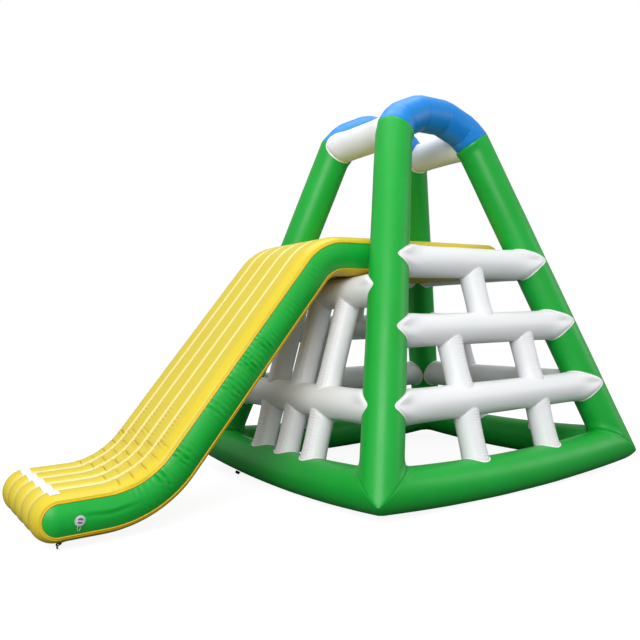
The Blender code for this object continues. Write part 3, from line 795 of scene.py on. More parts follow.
@dataclass
class MitredTube:
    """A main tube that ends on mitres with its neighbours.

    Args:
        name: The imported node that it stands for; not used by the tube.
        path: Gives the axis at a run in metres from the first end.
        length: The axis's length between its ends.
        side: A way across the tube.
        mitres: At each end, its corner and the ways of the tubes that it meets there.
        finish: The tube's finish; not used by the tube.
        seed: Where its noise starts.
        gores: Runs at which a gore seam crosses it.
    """

    name: str
    path: Callable[[float], Vector]
    length: float
    side: Vector
    mitres: tuple[tuple[Vector, list[Vector]], tuple[Vector, list[Vector]]]
    finish: Finish
    seed: float
    gores: tuple[float, ...] = ()
    radius: float = 0.170
    turns: int = 96
    step: float = 0.016
    least_rows: int = 12
    overrun: float = 2.6
    halvings: int = 30
    seam_pinch: float = 0.0035
    seam_reach: float = 0.013
    inner_start: float = 0.25
    inner_span: float = 0.6
    fillet: float = 0.020
    fillet_reach: float = 0.055
    crease: float = 0.0030
    crease_scale: float = 9
    crease_calm: float = 0.012
    crease_reach: float = 0.050
    gore_pinch: float = 0.0030
    gore_reach: float = 0.012
    swell: float = 0.0016
    swell_scale: float = 2.3
    ground_room: float = 0.002
    ground_gap: float = 0.0015

    def way(self, run: float) -> Vector:
        """The path's way at a run."""
        reach = self.step / 4
        return (self.path(run + reach) - self.path(run - reach)).normalized()

    def radial(self, turn: int, run: float) -> Vector:
        """The way out of the tube at a turn and run."""
        way = self.way(run)
        across = (self.side - way * self.side.dot(way)).normalized()
        return turned(across, way.cross(across), math.tau * turn / self.turns)

    def skin(self, turn: int, run: float) -> Vector:
        """The plain round skin at a turn and run."""
        return self.path(run) + self.radial(turn, run) * self.radius

    def own_way(self, end: int) -> Vector:
        """The way in which the tube leaves one of its ends."""
        return self.way(0) if end == 0 else -self.way(self.length)

    def room(self, point: Vector, end: int) -> tuple[float, Vector]:
        """How far inside an end's mitres a point is, and the nearest mitre's neighbour."""
        corner, neighbours = self.mitres[end]
        own = self.own_way(end)
        gaps = [(corner - point).dot((other - own).normalized()) for other in neighbours]
        return min(zip(gaps, neighbours), key=lambda pair: pair[0])

    def limit(self, turn: int, end: int) -> float:
        """The run at which a turn's line meets an end's mitres, by halving."""
        beyond = self.overrun * self.radius
        outside = -beyond if end == 0 else self.length + beyond
        inside = self.length / 2
        for _ in range(self.halvings):
            middle = (outside + inside) / 2
            if self.room(self.skin(turn, middle), end)[0] > 0:
                inside = middle
            else:
                outside = middle
        return inside

    def seam_shift(self, turn: int, run: float, end: int) -> tuple[Vector, float]:
        """How a mitre seam is pulled in, or filled out in an inner corner.

        Args:
            turn: The turn.
            run: The run of the seam there.
            end: The end, 0 or 1.

        Returns:
            The way from the corner, and how much of an inner corner it is.
        """
        point = self.skin(turn, run)
        away = (point - self.mitres[end][0]).normalized()
        middle = (self.own_way(end) + self.room(point, end)[1]).normalized()
        return away, ease((away.dot(middle) - self.inner_start) / self.inner_span)

    def build(self) -> Mesh:
        """Shapes the tube between its mitres, with pinched seams and creases."""
        rows = max(self.least_rows, round(self.length / self.step))
        limits = [[self.limit(turn, end) for end in (0, 1)] for turn in range(self.turns)]
        shifts = [
            [self.seam_shift(turn, limits[turn][end], end) for end in (0, 1)]
            for turn in range(self.turns)
        ]

        def place(turn: int, row: int) -> Vector:
            low, high = limits[turn]
            run = low + (high - low) * close_ends(row / rows)
            point = self.skin(turn, run)
            radial = self.radial(turn, run)
            for end, (away, inner) in enumerate(shifts[turn]):
                distance = abs(run - limits[turn][end])
                filled = self.fillet * inner * bell(distance, self.fillet_reach)
                point += away * (filled - self.seam_pinch * bell(distance, self.seam_reach))
                wave = stir(radial * self.crease_scale, 1.0, self.seed + end * 3.1)
                calm = 1 - bell(distance, self.crease_calm)
                fade = math.exp(-distance / self.crease_reach)
                point += radial * (self.crease * (0.5 + inner) * wave * calm * fade)
            for gore in self.gores:
                point -= radial * (self.gore_pinch * bell(run - gore, self.gore_reach))
            point += radial * (self.swell * stir(point, self.swell_scale, self.seed + 9))
            if point.z < self.ground_room:
                share = point.z / self.ground_room
                point.z = self.ground_gap * ease(share) if share > 0 else 0.0
            return point

        bm = sleeve(self.turns, rows, place)
        cap_rims(bm)
        return bm


@dataclass
class TowerFrame:
    """Base ring, legs and arches."""

    plan: TowerPlan
    arch_blend: float = 0.036
    arch_samples: tuple[float, ...] = (-1, -0.6, -0.2, 0.2, 0.6, 1)
    pieces: dict[str, Piece] = field(default_factory=dict)

    def dress(self, name: str, finish: Finish, *shape: object, **sizes: object) -> None:
        """Dresses a tube.

        Args:
            name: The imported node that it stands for.
            finish: Its finish.
            shape: Its path, length, side and mitres.
            sizes: Its seed, and other sizes than a plain tube's.
        """
        tube = MitredTube(name, *shape, finish, **sizes)
        self.pieces[name] = finish_piece(f"skin_{name}", tube.build(), [finish], [name])

    def leg_name(self, sx: int, sy: int) -> str:
        """The name of the leg at a corner."""
        return f"leg_{flank(sy)}_{end_word(sx)}"

    def neighbours(self, sx: int, sy: int, own: str) -> list[Vector]:
        """The ways in which the other two of a corner's leg and base tubes leave it."""
        here = self.plan.corner(sx, sy)
        ways = {
            "leg": self.plan.leg_way(sx, sy),
            "lengthwise": self.plan.base_way(here, self.plan.corner(-sx, sy)),
            "crosswise": self.plan.base_way(here, self.plan.corner(sx, -sy)),
        }
        return [way for word, way in ways.items() if word != own]

    def arch_way(self, sx: int, sy: int) -> Vector:
        """The way in which an arch leaves a shoulder."""
        stops = self.plan.arch_stops(sy)[::-sx]
        return (stops[1] - stops[0]).normalized()

    def build_leg(self, sx: int, sy: int) -> None:
        """Dresses a leg between its base corner and its shoulder."""
        low = self.plan.corner(sx, sy)
        high = self.plan.leg_point(sx, sy, self.plan.shoulder_height)
        way = (high - low).normalized()
        self.dress(
            self.leg_name(sx, sy),
            Finish.GREEN,
            lambda run: low + way * run,
            (high - low).length,
            ACROSS * -sy,
            ((low, self.neighbours(sx, sy, "leg")), (high, [self.arch_way(sx, sy)])),
            seed=5.0 + sx + 2 * sy,
        )

    def build_base(self, side: Side) -> None:
        """Dresses a bowed base tube."""
        first, second = side.ends
        start, end = self.plan.corner(*first), self.plan.corner(*second)
        length = (end - start).length
        own = "lengthwise" if side in (Side.NEAR, Side.FAR) else "crosswise"
        self.dress(
            f"base_tube_{side.word}",
            Finish.GREEN,
            lambda run: self.plan.base_point(start, end, run / length),
            length,
            side.along(self.plan).cross(UP),
            ((start, self.neighbours(*first, own)), (end, self.neighbours(*second, own))),
            seed=21.0 + 3 * len(self.pieces),
        )

    def build_arch(self, sy: int) -> None:
        """Dresses an arch of five runs, rounded where they meet."""
        stops = self.plan.arch_stops(sy)
        runs = [0.0]
        for before, after in zip(stops, stops[1:]):
            runs.append(runs[-1] + (after - before).length)

        def straight(run: float) -> Vector:
            index = next((i for i in range(len(stops) - 2) if run <= runs[i + 1]), len(stops) - 2)
            share = (run - runs[index]) / (runs[index + 1] - runs[index])
            return stops[index].lerp(stops[index + 1], share)

        def path(run: float) -> Vector:
            blend = min(self.arch_blend, max(0.0, min(run, runs[-1] - run)))
            places = (straight(run + blend * sample) for sample in self.arch_samples)
            return sum(places, Vector()) / len(self.arch_samples)

        self.dress(
            f"arch_{flank(sy)}",
            Finish.BLUE,
            path,
            runs[-1],
            ACROSS,
            (
                (stops[0], [-self.plan.leg_way(-1, sy)]),
                (stops[-1], [-self.plan.leg_way(1, sy)]),
            ),
            seed=41.0 + sy,
            gores=tuple(runs[1:-1]),
            step=0.008,
            fillet=0.006,
        )

    def build(self) -> None:
        """Dresses the whole frame."""
        for sx in (-1, 1):
            for sy in (-1, 1):
                self.build_leg(sx, sy)
        for side in Side:
            self.build_base(side)
        for sy in (-1, 1):
            self.build_arch(sy)

    def hosts(self, *names: str) -> Hosts:
        """The named tubes, to weld others to."""
        return Hosts([skin_tree(self.pieces[name]) for name in names])


# Cross tubes: rungs, struts and bridges


@dataclass
class WeldEnd:
    """One end of a cross tube, with sizes in metres.

    Args:
        hosts: What it is welded to.
        outer: Half its width on the outer side of the weld.
        inner: Half its width on the inner side.
        rise: Half its height at the weld.
        puff: How far it puffs up beside the weld.
        wrap: How far the hood's tip reaches on round the host.
        lip: The width of the weld's rim.
    """

    hosts: Hosts
    outer: float
    inner: float
    rise: float
    puff: float = 0.006
    wrap: float = 0.0
    lip: float = 0.0135


@dataclass
class CrossTube:
    """A round tube welded between two others.

    Args:
        name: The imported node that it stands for.
        start: Where its axis meets the first host's axis.
        end: Where its axis meets the second host's axis.
        radius: Its radius.
        outward: The way out of the tower.
        ends: Its two welded ends.
        seed: Where its noise starts.
        seam_turn: The angle in degrees from outward of a lengthwise seam, or None.
    """

    name: str
    start: Vector
    end: Vector
    radius: float
    outward: Vector
    ends: tuple[WeldEnd, WeldEnd]
    seed: float
    seam_turn: Optional[float] = None
    turns: int = 96
    step: float = 0.011
    least_rows: int = 24
    hidden_length: float = 0.2
    hood_reach: float = 0.145
    hood_slope: float = 0.05
    wrap_angle: float = 0.75
    weld_reach: float = 0.075
    puff_start: float = 0.014
    puff_reach: float = 0.12
    crease: float = 0.0016
    crease_scale: float = 7
    crease_calm: float = 0.02
    crease_reach: float = 0.07
    lip_height: float = 0.0014
    lip_reach: float = 0.003
    lip_unevenness: float = 0.12
    swell: float = 0.0012
    swell_scale: float = 3.1
    seam_height: float = 0.0022
    seam_half_width: float = 0.007
    tuck_depth: float = 0.0100
    tuck_pitch: float = 0.025
    tuck_reach: float = 0.050
    far_tuck_share: float = 0.45
    tuck_drift: float = 0.35
    tuck_room: float = 0.012
    tuck_calm: float = 0.03

    def __post_init__(self) -> None:
        """Works out the tube's own ways."""
        self.way = (self.end - self.start).normalized()
        self.out = (self.outward - self.way * self.outward.dot(self.way)).normalized()
        self.rise_way = self.way.cross(self.out)
        self.middle = (self.start + self.end) / 2

    def rim_offset(self, angle: float, weld: WeldEnd) -> Vector:
        """A welded end's offset from the axis at an angle from outward."""
        width = weld.outer if math.cos(angle) > 0 else weld.inner
        return self.out * (width * math.cos(angle)) + self.rise_way * (weld.rise * math.sin(angle))

    def anchor(self, angle: float, weld: WeldEnd, sign: int) -> Spot:
        """Where the weld's line meets the host.

        Args:
            angle: The angle from outward.
            weld: The end's sizes.
            sign: The end's way along the tube.

        Returns:
            The place on the host and its normal.
        """
        way = self.way * sign
        found = weld.hosts.hit(self.middle + self.rim_offset(angle, weld), way)
        off = min(angle, math.tau - angle)
        reach = weld.wrap * max(0.0, 1 - off / self.wrap_angle)
        return weld.hosts.nearest(found[0] + way * reach) if reach > 0 else found

    def tucks(self, angle: float, run: float) -> float:
        """The relief of the lengthwise seam and the small tucks beside it."""
        if self.seam_turn is None:
            return 0.0
        side = (angle - math.radians(self.seam_turn) + math.pi) % math.tau - math.pi
        off = side * self.radius
        tape = self.seam_height * ease(1.4 - abs(off) / self.seam_half_width)
        reach = self.tuck_reach if off < 0 else self.tuck_reach * self.far_tuck_share
        phase = run / self.tuck_pitch + self.tuck_drift * stir_flat(run, off * 0.4, 30, self.seed)
        beat = 0.5 + 0.5 * stir_flat(run, 0, 9, self.seed + 4)
        dip = (0.5 - 0.5 * math.cos(math.tau * phase)) ** 2
        fade = math.exp(-abs(off) / reach)
        return tape - self.tuck_depth * beat * dip * fade * ease(abs(off) / self.tuck_room)

    def build(self) -> Mesh:
        """Shapes the tube, its hooded ends and its weld rims."""
        angles = [math.tau * turn / self.turns for turn in range(self.turns)]
        rims = [
            [self.anchor(angle, weld, sign) for angle in angles]
            for weld, sign in zip(self.ends, (-1, 1))
        ]
        runs = [[(hit[0] - self.start).dot(self.way) for hit in rim] for rim in rims]
        length = (self.end - self.start).length - self.hidden_length
        rows = max(self.least_rows, round(length / self.step))

        def place(turn: int, row: int) -> Vector:
            angle = angles[turn]
            low, high = runs[0][turn], runs[1][turn]
            run = low + (high - low) * close_ends(row / rows)
            radial = turned(self.out, self.rise_way, angle)
            offset = radial * self.radius
            for index, (weld, stop) in enumerate(zip(self.ends, (low, high))):
                distance = abs(run - stop)
                at_rim = self.rim_offset(angle, weld)
                offset += (at_rim - radial * self.radius) * bell(distance, self.hood_reach)
                puff = weld.puff * (1 - math.exp(-distance / self.puff_start))
                puff *= bell(distance, self.puff_reach)
                wave = self.crease * stir(radial * self.crease_scale, 1.0, self.seed + index * 5)
                wave *= 1 - bell(distance, self.crease_calm)
                offset += radial * (puff + wave * math.exp(-distance / self.crease_reach))
                point, normal = rims[index][turn]
                aside = point - self.start - self.way * stop
                offset += (aside - at_rim) * bell(distance, self.weld_reach)
                offset += normal * (self.lip_height * bell(distance, self.lip_reach))
            calm = ease(min(run - low, high - run) / self.tuck_calm)
            offset += radial * (self.tucks(angle, run) * calm)
            axis = self.start + self.way * run
            offset += radial * (self.swell * stir(axis + offset, self.swell_scale, self.seed))
            point = axis + offset
            for weld, stop in zip(self.ends, (low, high)):
                distance = abs(run - stop)
                if weld.wrap and distance < self.hood_reach:
                    room = self.lip_height + self.hood_slope * distance
                    point = weld.hosts.above(point, room)
            return point

        bm = sleeve(self.turns, rows, place)
        near = [sum((hit[0] for hit in rim), Vector()) / len(rim) for rim in rims]
        for rim, hits, centre, weld in zip(open_rims(bm, near), rims, near, self.ends):
            self.weld_rim(bm, rim, hits, centre, weld)
        cap_rims(bm)
        return bm

    def weld_rim(
        self, bm: Mesh, rim: Rim, hits: list[Spot], centre: Vector, weld: WeldEnd
    ) -> None:
        """Adds the pressed rim that lies on the host.

        Args:
            bm: The tube's mesh.
            rim: The open rim's edges.
            hits: The rim's places on the host, with its normals.
            centre: The rim's middle.
            weld: The end's sizes.
        """
        outer: list[Spot] = []
        for turn, (point, normal) in enumerate(hits):
            along = hits[(turn + 1) % len(hits)][0] - hits[turn - 1][0]
            away = along.cross(normal).normalized()
            if away.dot(point - centre) < 0:
                away = -away
            width = weld.lip * (1 + self.lip_unevenness * stir(point, 20, self.seed))
            outer.append(weld.hosts.nearest(point + away * width))
        for sign in (1, -1):
            lift = self.lip_height * sign
            rim = grow_rim(bm, rim, lambda turn: outer[turn][0] + outer[turn][1] * lift, 1)

    def dress(self) -> Piece:
        """Makes the piece."""
        finishes = [Finish.WHITE, Finish.WELD]
        return finish_piece(f"skin_{self.name}", self.build(), finishes, [self.name], sharp=60)


@dataclass(frozen=True)
class Strut:
    """A strut of a ladder.

    Args:
        word: Its word in its name.
        sign: On which side of the struts' middle it stands.
        level: The index of the rung above it, from the top.
        seed: Where its noise starts, counted from its ladder's.
    """

    word: str
    sign: int
    level: int
    seed: float


LADDER_STRUTS = (
    Strut("upper", 0, 0, 11),
    Strut("middle_a", -1, 1, 13),
    Strut("lower_a", -1, 2, 17),
    Strut("middle_b", 1, 1, 14),
    Strut("lower_b", 1, 2, 18),
)
SLIDE_STRUTS = (
    Strut("upper_a", -1, 0, 5),
    Strut("lower_a", -1, 1, 9),
    Strut("upper_b", 0, 0, 6),
    Strut("lower_b", 0, 1, 10),
    Strut("upper_c", 1, 0, 7),
    Strut("lower_c", 1, 1, 11),
)


BRIDGE_OUTER, BRIDGE_INNER = 1.09, 0.98


@dataclass
class Ladder:
    """The rungs and struts of one side of the tower.

    Args:
        tower: The frame that it is welded to.
        side: The side.
        middle: How far along from the side's middle the struts' middle is.
        pitch: How far from that middle the outer struts stand.
        seed: Where its noise starts.
    """

    tower: TowerFrame
    side: Side
    middle: float
    pitch: float
    seed: float
    seam_deg: float = 24
    hood_share: float = 0.998
    hood_wrap: float = 0.036
    rung_inner: float = 0.112
    strut_outer: float = 1.05
    strut_rise: float = 1.03

    def __post_init__(self) -> None:
        """Looks up the side's rungs."""
        self.plan = self.tower.plan
        slide = self.side is Side.SLIDE
        self.heights = self.plan.slide_rung_heights if slide else self.plan.rung_heights
        self.words = ("top", "bottom") if slide else ("top", "middle", "bottom")
        self.struts = SLIDE_STRUTS if slide else LADDER_STRUTS
        self.wrap = 0.0 if slide else self.hood_wrap

    def rung(self, word: str, height: float, seed: float) -> Piece:
        """Dresses a rung with hooded outer ends."""
        radius = self.plan.rung_radius
        outer = self.plan.main_radius * self.hood_share
        ends = tuple(
            WeldEnd(
                self.tower.hosts(self.tower.leg_name(*corner)),
                outer,
                self.rung_inner,
                radius,
                wrap=self.wrap,
            )
            for corner in self.side.ends
        )
        name = f"{self.side.word}_rung_{word}"
        span = self.side.span(self.plan, height)
        return CrossTube(name, *span, radius, self.side.outward(self.plan), ends, seed).dress()

    def strut(self, strut: Strut, hosts: Sequence[Hosts]) -> None:
        """Dresses a strut between the tubes above and below it."""
        plan, side = self.plan, self.side
        across = self.middle + strut.sign * self.pitch
        below = strut.level + 1
        high = side.point(plan, across, self.heights[strut.level])
        if below < len(self.heights):
            low = side.point(plan, across, self.heights[below])
        else:
            low = side.foot(plan, across)
        radius = plan.strut_radius
        outer, rise = radius * self.strut_outer, radius * self.strut_rise
        ends = tuple(
            WeldEnd(hosts[index], outer, radius, rise, puff=0.003, lip=0.011)
            for index in (below, strut.level)
        )
        way = (high - low).normalized()
        facing = way.cross(side.outward(plan)).dot(side.along(plan)) > 0
        mirrored = side in (Side.FAR, Side.SLIDE)
        CrossTube(
            f"{side.word}_strut_{strut.word}",
            low,
            high,
            radius,
            side.outward(plan),
            ends,
            self.seed + strut.seed,
            seam_turn=self.seam_deg if facing != mirrored else -self.seam_deg,
            turns=72,
            step=0.005,
            hood_reach=0.05,
        ).dress()

    def build(self) -> None:
        """Dresses the rungs, then the struts between them and the base tube."""
        hosts = []
        for index, (word, height) in enumerate(zip(self.words, self.heights)):
            hosts.append(Hosts([skin_tree(self.rung(word, height, self.seed + index))]))
        hosts.append(self.tower.hosts(f"base_tube_{self.side.word}"))
        for strut in self.struts:
            self.strut(strut, hosts)


def build_bridge(tower: TowerFrame, sx: int, seed: float) -> None:
    """Dresses a bridge between the arches' shoulders."""
    plan = tower.plan
    wide = plan.bridge_radius
    outer, inner = wide * BRIDGE_OUTER, wide * BRIDGE_INNER
    stops = [plan.leg_point(sx, sy, plan.shoulder_height) for sy in (-1, 1)]
    ends = tuple(
        WeldEnd(tower.hosts(tower.leg_name(sx, sy), f"arch_{flank(sy)}"), outer, inner, inner)
        for sy in (-1, 1)
    )
    name = f"bridge_{end_word(sx)}"
    CrossTube(name, *stops, wide, Vector((sx, 0, 0)), ends, seed).dress()


def build_sides(tower: TowerFrame) -> None:
    """Dresses the ladders of all four sides, with their places along them, then the bridges."""
    for side, middle, pitch, seed in (
        (Side.NEAR, 0.040, 0.465, 60),
        (Side.FAR, 0.040, 0.465, 90),
        (Side.BACK, -0.045, 0.440, 120),
        (Side.SLIDE, 0.055, 0.420, 150),
    ):
        Ladder(tower, side, middle, pitch, seed).build()
    for sx in (-1, 1):
        build_bridge(tower, sx, 180 + sx)


# The slide


@dataclass(frozen=True)
class SlidePlan:
    """The slide's middle line and section, in metres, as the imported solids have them."""

    platform_height: float = 2.051
    runout_height: float = 0.230
    slope_angle: float = math.radians(49.4)
    crest_radius: float = 0.380
    foot_radius: float = 0.740
    runout_length: float = 0.653
    core_half: float = 0.130
    crown: float = 0.040
    channels: int = 5
    wall_start: float = 0.020
    wall_half: float = 0.110
    wall_bulge: float = 0.040
    wall_lip: float = 0.004
    wall_gap: float = 0.0003

    @cached_property
    def half_width(self) -> float:
        """Half the chamber's width."""
        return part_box("slide_chamber")[1].y

    @cached_property
    def back_x(self) -> float:
        """Where the middle line's back end is."""
        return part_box("slide_chamber")[1].x - self.crown

    @cached_property
    def nose_x(self) -> float:
        """Where the nose's centre is."""
        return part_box("slide_chamber")[0].x + self.core_half + self.crown

    @cached_property
    def marks(self) -> tuple[float, float, float, float, float]:
        """The runs at which the crest, slope, foot, run-out and nose start."""
        drop = self.platform_height - self.runout_height
        slope = drop / math.sin(self.slope_angle)
        crest_cut = self.crest_radius * math.tan(self.slope_angle / 2)
        foot_cut = self.foot_radius * math.tan(self.slope_angle / 2)
        foot_corner = self.nose_x + self.runout_length
        crest_corner = foot_corner + drop / math.tan(self.slope_angle)
        crest = self.back_x - crest_corner - crest_cut
        down = crest + self.crest_radius * self.slope_angle
        foot = down + slope - crest_cut - foot_cut
        level = foot + self.foot_radius * self.slope_angle
        return crest, down, foot, level, level + self.runout_length - foot_cut

    def at(self, run: float) -> Spot:
        """The middle line at a run from its back end, and the way up from it."""
        crest, down, foot, level, _ = self.marks
        point = Vector((self.back_x - min(run, crest), 0, self.platform_height))
        if run <= crest:
            return point, UP.copy()
        up = tipped(min(run - crest, down - crest) / self.crest_radius)
        point = point - UP * self.crest_radius + up * self.crest_radius
        if run <= down:
            return point, up
        way = Vector((-math.cos(self.slope_angle), 0, -math.sin(self.slope_angle)))
        point = point + way * (min(run, foot) - down)
        if run <= foot:
            return point, up
        centre = point + up * self.foot_radius
        up = tipped(self.slope_angle - min(run - foot, level - foot) / self.foot_radius)
        point = centre - up * self.foot_radius
        if run <= level:
            return point, up
        return point - Vector((run - level, 0, 0)), UP.copy()


class Region(Enum):
    """The stretches of the slide's outline."""

    TOP = "top"
    NOSE = "nose"
    UNDER = "under"
    BACK = "back"


@dataclass(frozen=True)
class Station:
    """One place on the slide's outline, seen from the side."""

    point: Vector
    out: Vector
    region: Region
    run: float


@dataclass(frozen=True)
class CrossFolds:
    """The cross folds in the lower bend's channels, with a fringe of fine pleats above.

    Args:
        plan: The slide's sizes.
        depth: How deep a fold is, in metres.
        width: How fast it comes up again.
        pitch: From one fold to the next in a channel.
        stagger: How much of a pitch each channel's folds are set on.
        slant: How far a fold leans over half a channel.
        waver: How far a fold wavers.
        puff: The share of the depth that puffs up beside a fold.
        puff_offset: How far beside the fold.
        puff_width: How wide.
        line_width: The width of the fold's line of painted dark shade.
        pleat_depth: How deep a pleat is.
        pleat_pitch: From one pleat to the next.
        pleat_mark: How dark the pleats' painted shade is.
        strength: The folds' mean strength, and how much it varies.
        zone: The folds' stretch from the foot's start to its end.
        fringe: The pleats' stretch about the foot's start.
    """

    plan: SlidePlan
    depth: float = 0.015
    width: float = 0.0080
    pitch: float = 0.132
    stagger: float = 0.21
    slant: float = 0.020
    waver: float = 0.006
    puff: float = 0.55
    puff_offset: float = 0.016
    puff_width: float = 0.014
    line_width: float = 0.0085
    pleat_depth: float = 0.0060
    pleat_pitch: float = 0.034
    pleat_mark: float = 0.50
    strength: tuple[float, float] = (0.75, 0.5)
    zone: Stretch = Stretch(-0.16, 0.14, -0.04, 0.07)
    fringe: Stretch = Stretch(-0.42, 0.16, 0.10, 0.16)

    def at(self, channel: int, across: float, run: float) -> tuple[float, float]:
        """The folds at a place.

        Args:
            channel: The channel, counted from the near side.
            across: The place across the channel, from -1 on its near side to 1.
            run: The run along the slide.

        Returns:
            The height above the plain channel, in metres, and how deep in a fold it is, which sets
            the strength of the painted shade there.
        """
        _, _, foot, level, _ = self.plan.marks
        zone = self.zone.at(run, foot, level)
        fine = self.fringe.at(run, foot, foot)
        shift = 0.5 * (channel % 2) + self.stagger * channel
        waver = self.waver * stir(Vector((across, channel, run)), 3, 77)
        phase = (run + self.slant * across + waver) / self.pitch + shift
        off = (phase - round(phase)) * self.pitch
        mean, varied = self.strength
        strength = mean + varied * stir_flat(round(phase) * 3.7, channel * 5.1, 1.0, 12)
        outermost = channel == self.plan.channels - 1
        reach = ease((across + 1.1) / 0.85) * (1 - 0.9 * ease((across - 0.2) / 0.5) * outermost)
        dip = math.exp(-abs(off) / self.width)
        dip -= self.puff * bell(off - self.puff_offset, self.puff_width)
        coarse = -self.depth * strength * dip * reach * zone
        # Painted shade along each fold's line, and fainter over the pleats.
        fold = bell(off, self.line_width) * reach * zone * min(1.0, 1.3 * strength)
        pleat = (0.5 + 0.5 * math.cos(math.tau * (run / self.pleat_pitch + shift))) ** 3
        fringe = pleat * fine * ease((across + 0.1) / 0.9)
        return coarse - self.pleat_depth * fringe, max(fold, self.pleat_mark * fringe)


@dataclass
class SlideSkin:
    """The yellow chamber, its puckers and the band across its nose."""

    plan: SlidePlan
    columns: int = 20
    top_step: float = 0.020
    foot_step: float = 0.0055
    under_step: float = 0.030
    nose_steps: int = 22
    corner_steps: int = 6
    corner_radius: float = 0.050
    groove_depth: float = 0.018
    groove_sharpness: float = 12
    channel_power: float = 2.2
    roll_rate: float = 4.2
    roll_power: float = 1.5
    fall_power: float = 3.0
    pucker_depth: float = 0.0036
    pucker_pitch: float = 0.042
    pucker_edge: float = 0.28
    pucker_width: float = 0.20
    pucker_zone: Stretch = Stretch(-0.08, 0.12, 0.10, 0.12)
    fine_before: float = 0.45
    fine_after: float = 0.08
    round_before: float = 0.35
    round_over: float = 0.45
    swell: float = 0.0012
    swell_scale: float = 4.0
    # Sizes of the pale weld lines beside the grooves and of the painted highlight along them.
    seam_shift: float = 0.010
    seam_width: float = 0.0082
    seam_spread_before: float = 0.40
    seam_spread_over: float = 0.50
    seam_widening: float = 1.2
    seam_fade: float = 0.75
    seam_fade_over: float = 0.10
    # How strongly the underside takes the painted amber glow.
    painted_under_glow: float = 0.75
    band_thickness: float = 0.0015
    band_back: float = 0.025
    band_front_deg: float = 15
    band_rows: int = 12
    band_columns: int = 150

    def __post_init__(self) -> None:
        """Works out the whole count of columns, the nose's centre and the folds."""
        self.whole = self.plan.channels * self.columns
        self.nose = self.plan.marks[-1]
        self.nose_centre = self.plan.at(self.nose)[0]
        self.folds = CrossFolds(self.plan)

    def top_runs(self) -> list[float]:
        """The runs of the top's stations, finer in the lower bend."""
        _, _, foot, level, nose = self.plan.marks
        runs = []
        run = self.corner_radius
        while run < nose - self.top_step / 2:
            runs.append(run)
            fine = foot - self.fine_before < run < level + self.fine_after
            run += self.foot_step if fine else self.top_step
        return runs

    def nose_station(self, turn: float, run: float) -> Station:
        """The station so far round the nose."""
        out = tipped(turn)
        return Station(self.nose_centre + out * self.plan.core_half, out, Region.NOSE, run)

    def stations(self) -> list[Station]:
        """The outline's stations: top, nose, underside and back end, as a loop."""
        plan = self.plan
        half = plan.core_half
        found = []
        for run in self.top_runs():
            point, up = plan.at(run)
            found.append(Station(point + up * half, up, Region.TOP, run))
        for index in range(self.nose_steps + 1):
            turn = math.pi * index / self.nose_steps
            found.append(self.nose_station(turn, self.nose + turn * half))
        run = self.nose - self.under_step
        while run > self.corner_radius:
            point, up = plan.at(run)
            found.append(Station(point - up * half, -up, Region.UNDER, run))
            run -= self.under_step
        back = plan.at(0)[0] - Vector((self.corner_radius, 0, 0))
        steps = self.corner_steps
        quarter = [math.pi / 2 * index / steps for index in range(steps + 1)]
        for sign, turns in ((-1, quarter), (1, quarter[:0:-1])):
            middle = back + UP * (sign * (half - self.corner_radius))
            for turn in turns:
                out = Vector((math.sin(turn), 0, sign * math.cos(turn)))
                found.append(Station(middle + out * self.corner_radius, out, Region.BACK, 0))
        return found

    def split(self, column: float) -> tuple[int, float]:
        """The channel at a column, and the place across it from -1 to 1."""
        channel = min(self.plan.channels - 1, int(column // self.columns))
        return channel, 2 * (column / self.columns - channel) - 1

    def weld_line_highlight(self, column: float, station: Station) -> float:
        """How far a point lies in the pale weld line beside a groove, with the painted highlight
        along it.
        """
        groove = round(column / self.columns + 0.05)
        if station.region in (Region.UNDER, Region.BACK) or groove in (0, self.plan.channels):
            return 0.0
        after = station.run - self.plan.marks[3] + self.seam_spread_before
        spread = ease(after / self.seam_spread_over)
        pitch = 2 * self.plan.half_width / self.plan.channels
        off = (column / self.columns - groove) * pitch - self.seam_shift * (1 + spread)
        fade = 1 - self.seam_fade * ease((station.run - self.nose) / self.seam_fade_over)
        return bell(off, self.seam_width * (1 + self.seam_widening * spread)) * fade

    def fold_shade_and_glow(self, column: float, station: Station) -> float:
        """How strongly a point takes the painted shade of a fold, or the underside's painted amber
        glow.
        """
        # The underside gets the painted amber glow, the top the painted shade in its folds.
        if station.region is Region.UNDER:
            return self.painted_under_glow
        if station.region is Region.TOP:
            return self.folds.at(*self.split(column), station.run)[1]
        return 0.0

    def rise(self, column: float, station: Station) -> float:
        """How far the skin stands off the core at a column and station."""
        crown = self.plan.crown
        channel, across = self.split(column)
        round_form = crown * (1 - abs(across) ** self.channel_power)
        if station.region is not Region.TOP:
            return round_form
        crest, down, _, level, _ = self.plan.marks
        run = station.run
        edge = min(column, self.whole - column) / self.columns
        flat_form = crown - self.groove_depth * abs(across) ** self.groove_sharpness
        roll = (1 - ease(edge * self.roll_rate)) ** self.roll_power
        flat_form -= (crown - self.groove_depth) * roll
        if edge < 0.5:
            flat_form = min(flat_form, crown * (1 - (1 - edge * 2) ** self.fall_power))
        toward_nose = ease((run - level + self.round_before) / self.round_over)
        height = flat_form + (round_form - flat_form) * toward_nose
        height += self.folds.at(channel, across, run)[0]
        near_edge = bell(edge - self.pucker_edge, self.pucker_width)
        bend = self.pucker_zone.at(run, crest, down)
        wave = 0.5 + 0.5 * math.cos(math.tau * run / self.pucker_pitch + channel)
        return height - self.pucker_depth * wave**3 * near_edge * bend

    def skin(self, column: float, station: Station) -> Vector:
        """The chamber's skin at a column and station."""
        half = self.plan.half_width
        y = -half + 2 * half * column / self.whole
        height = self.rise(column, station)
        if 0 < column < self.whole:
            height += self.swell * stir(station.point + Vector((0, y, 0)), self.swell_scale, 33)
        place = station.point + station.out * height
        return Vector((place.x, y, place.z))

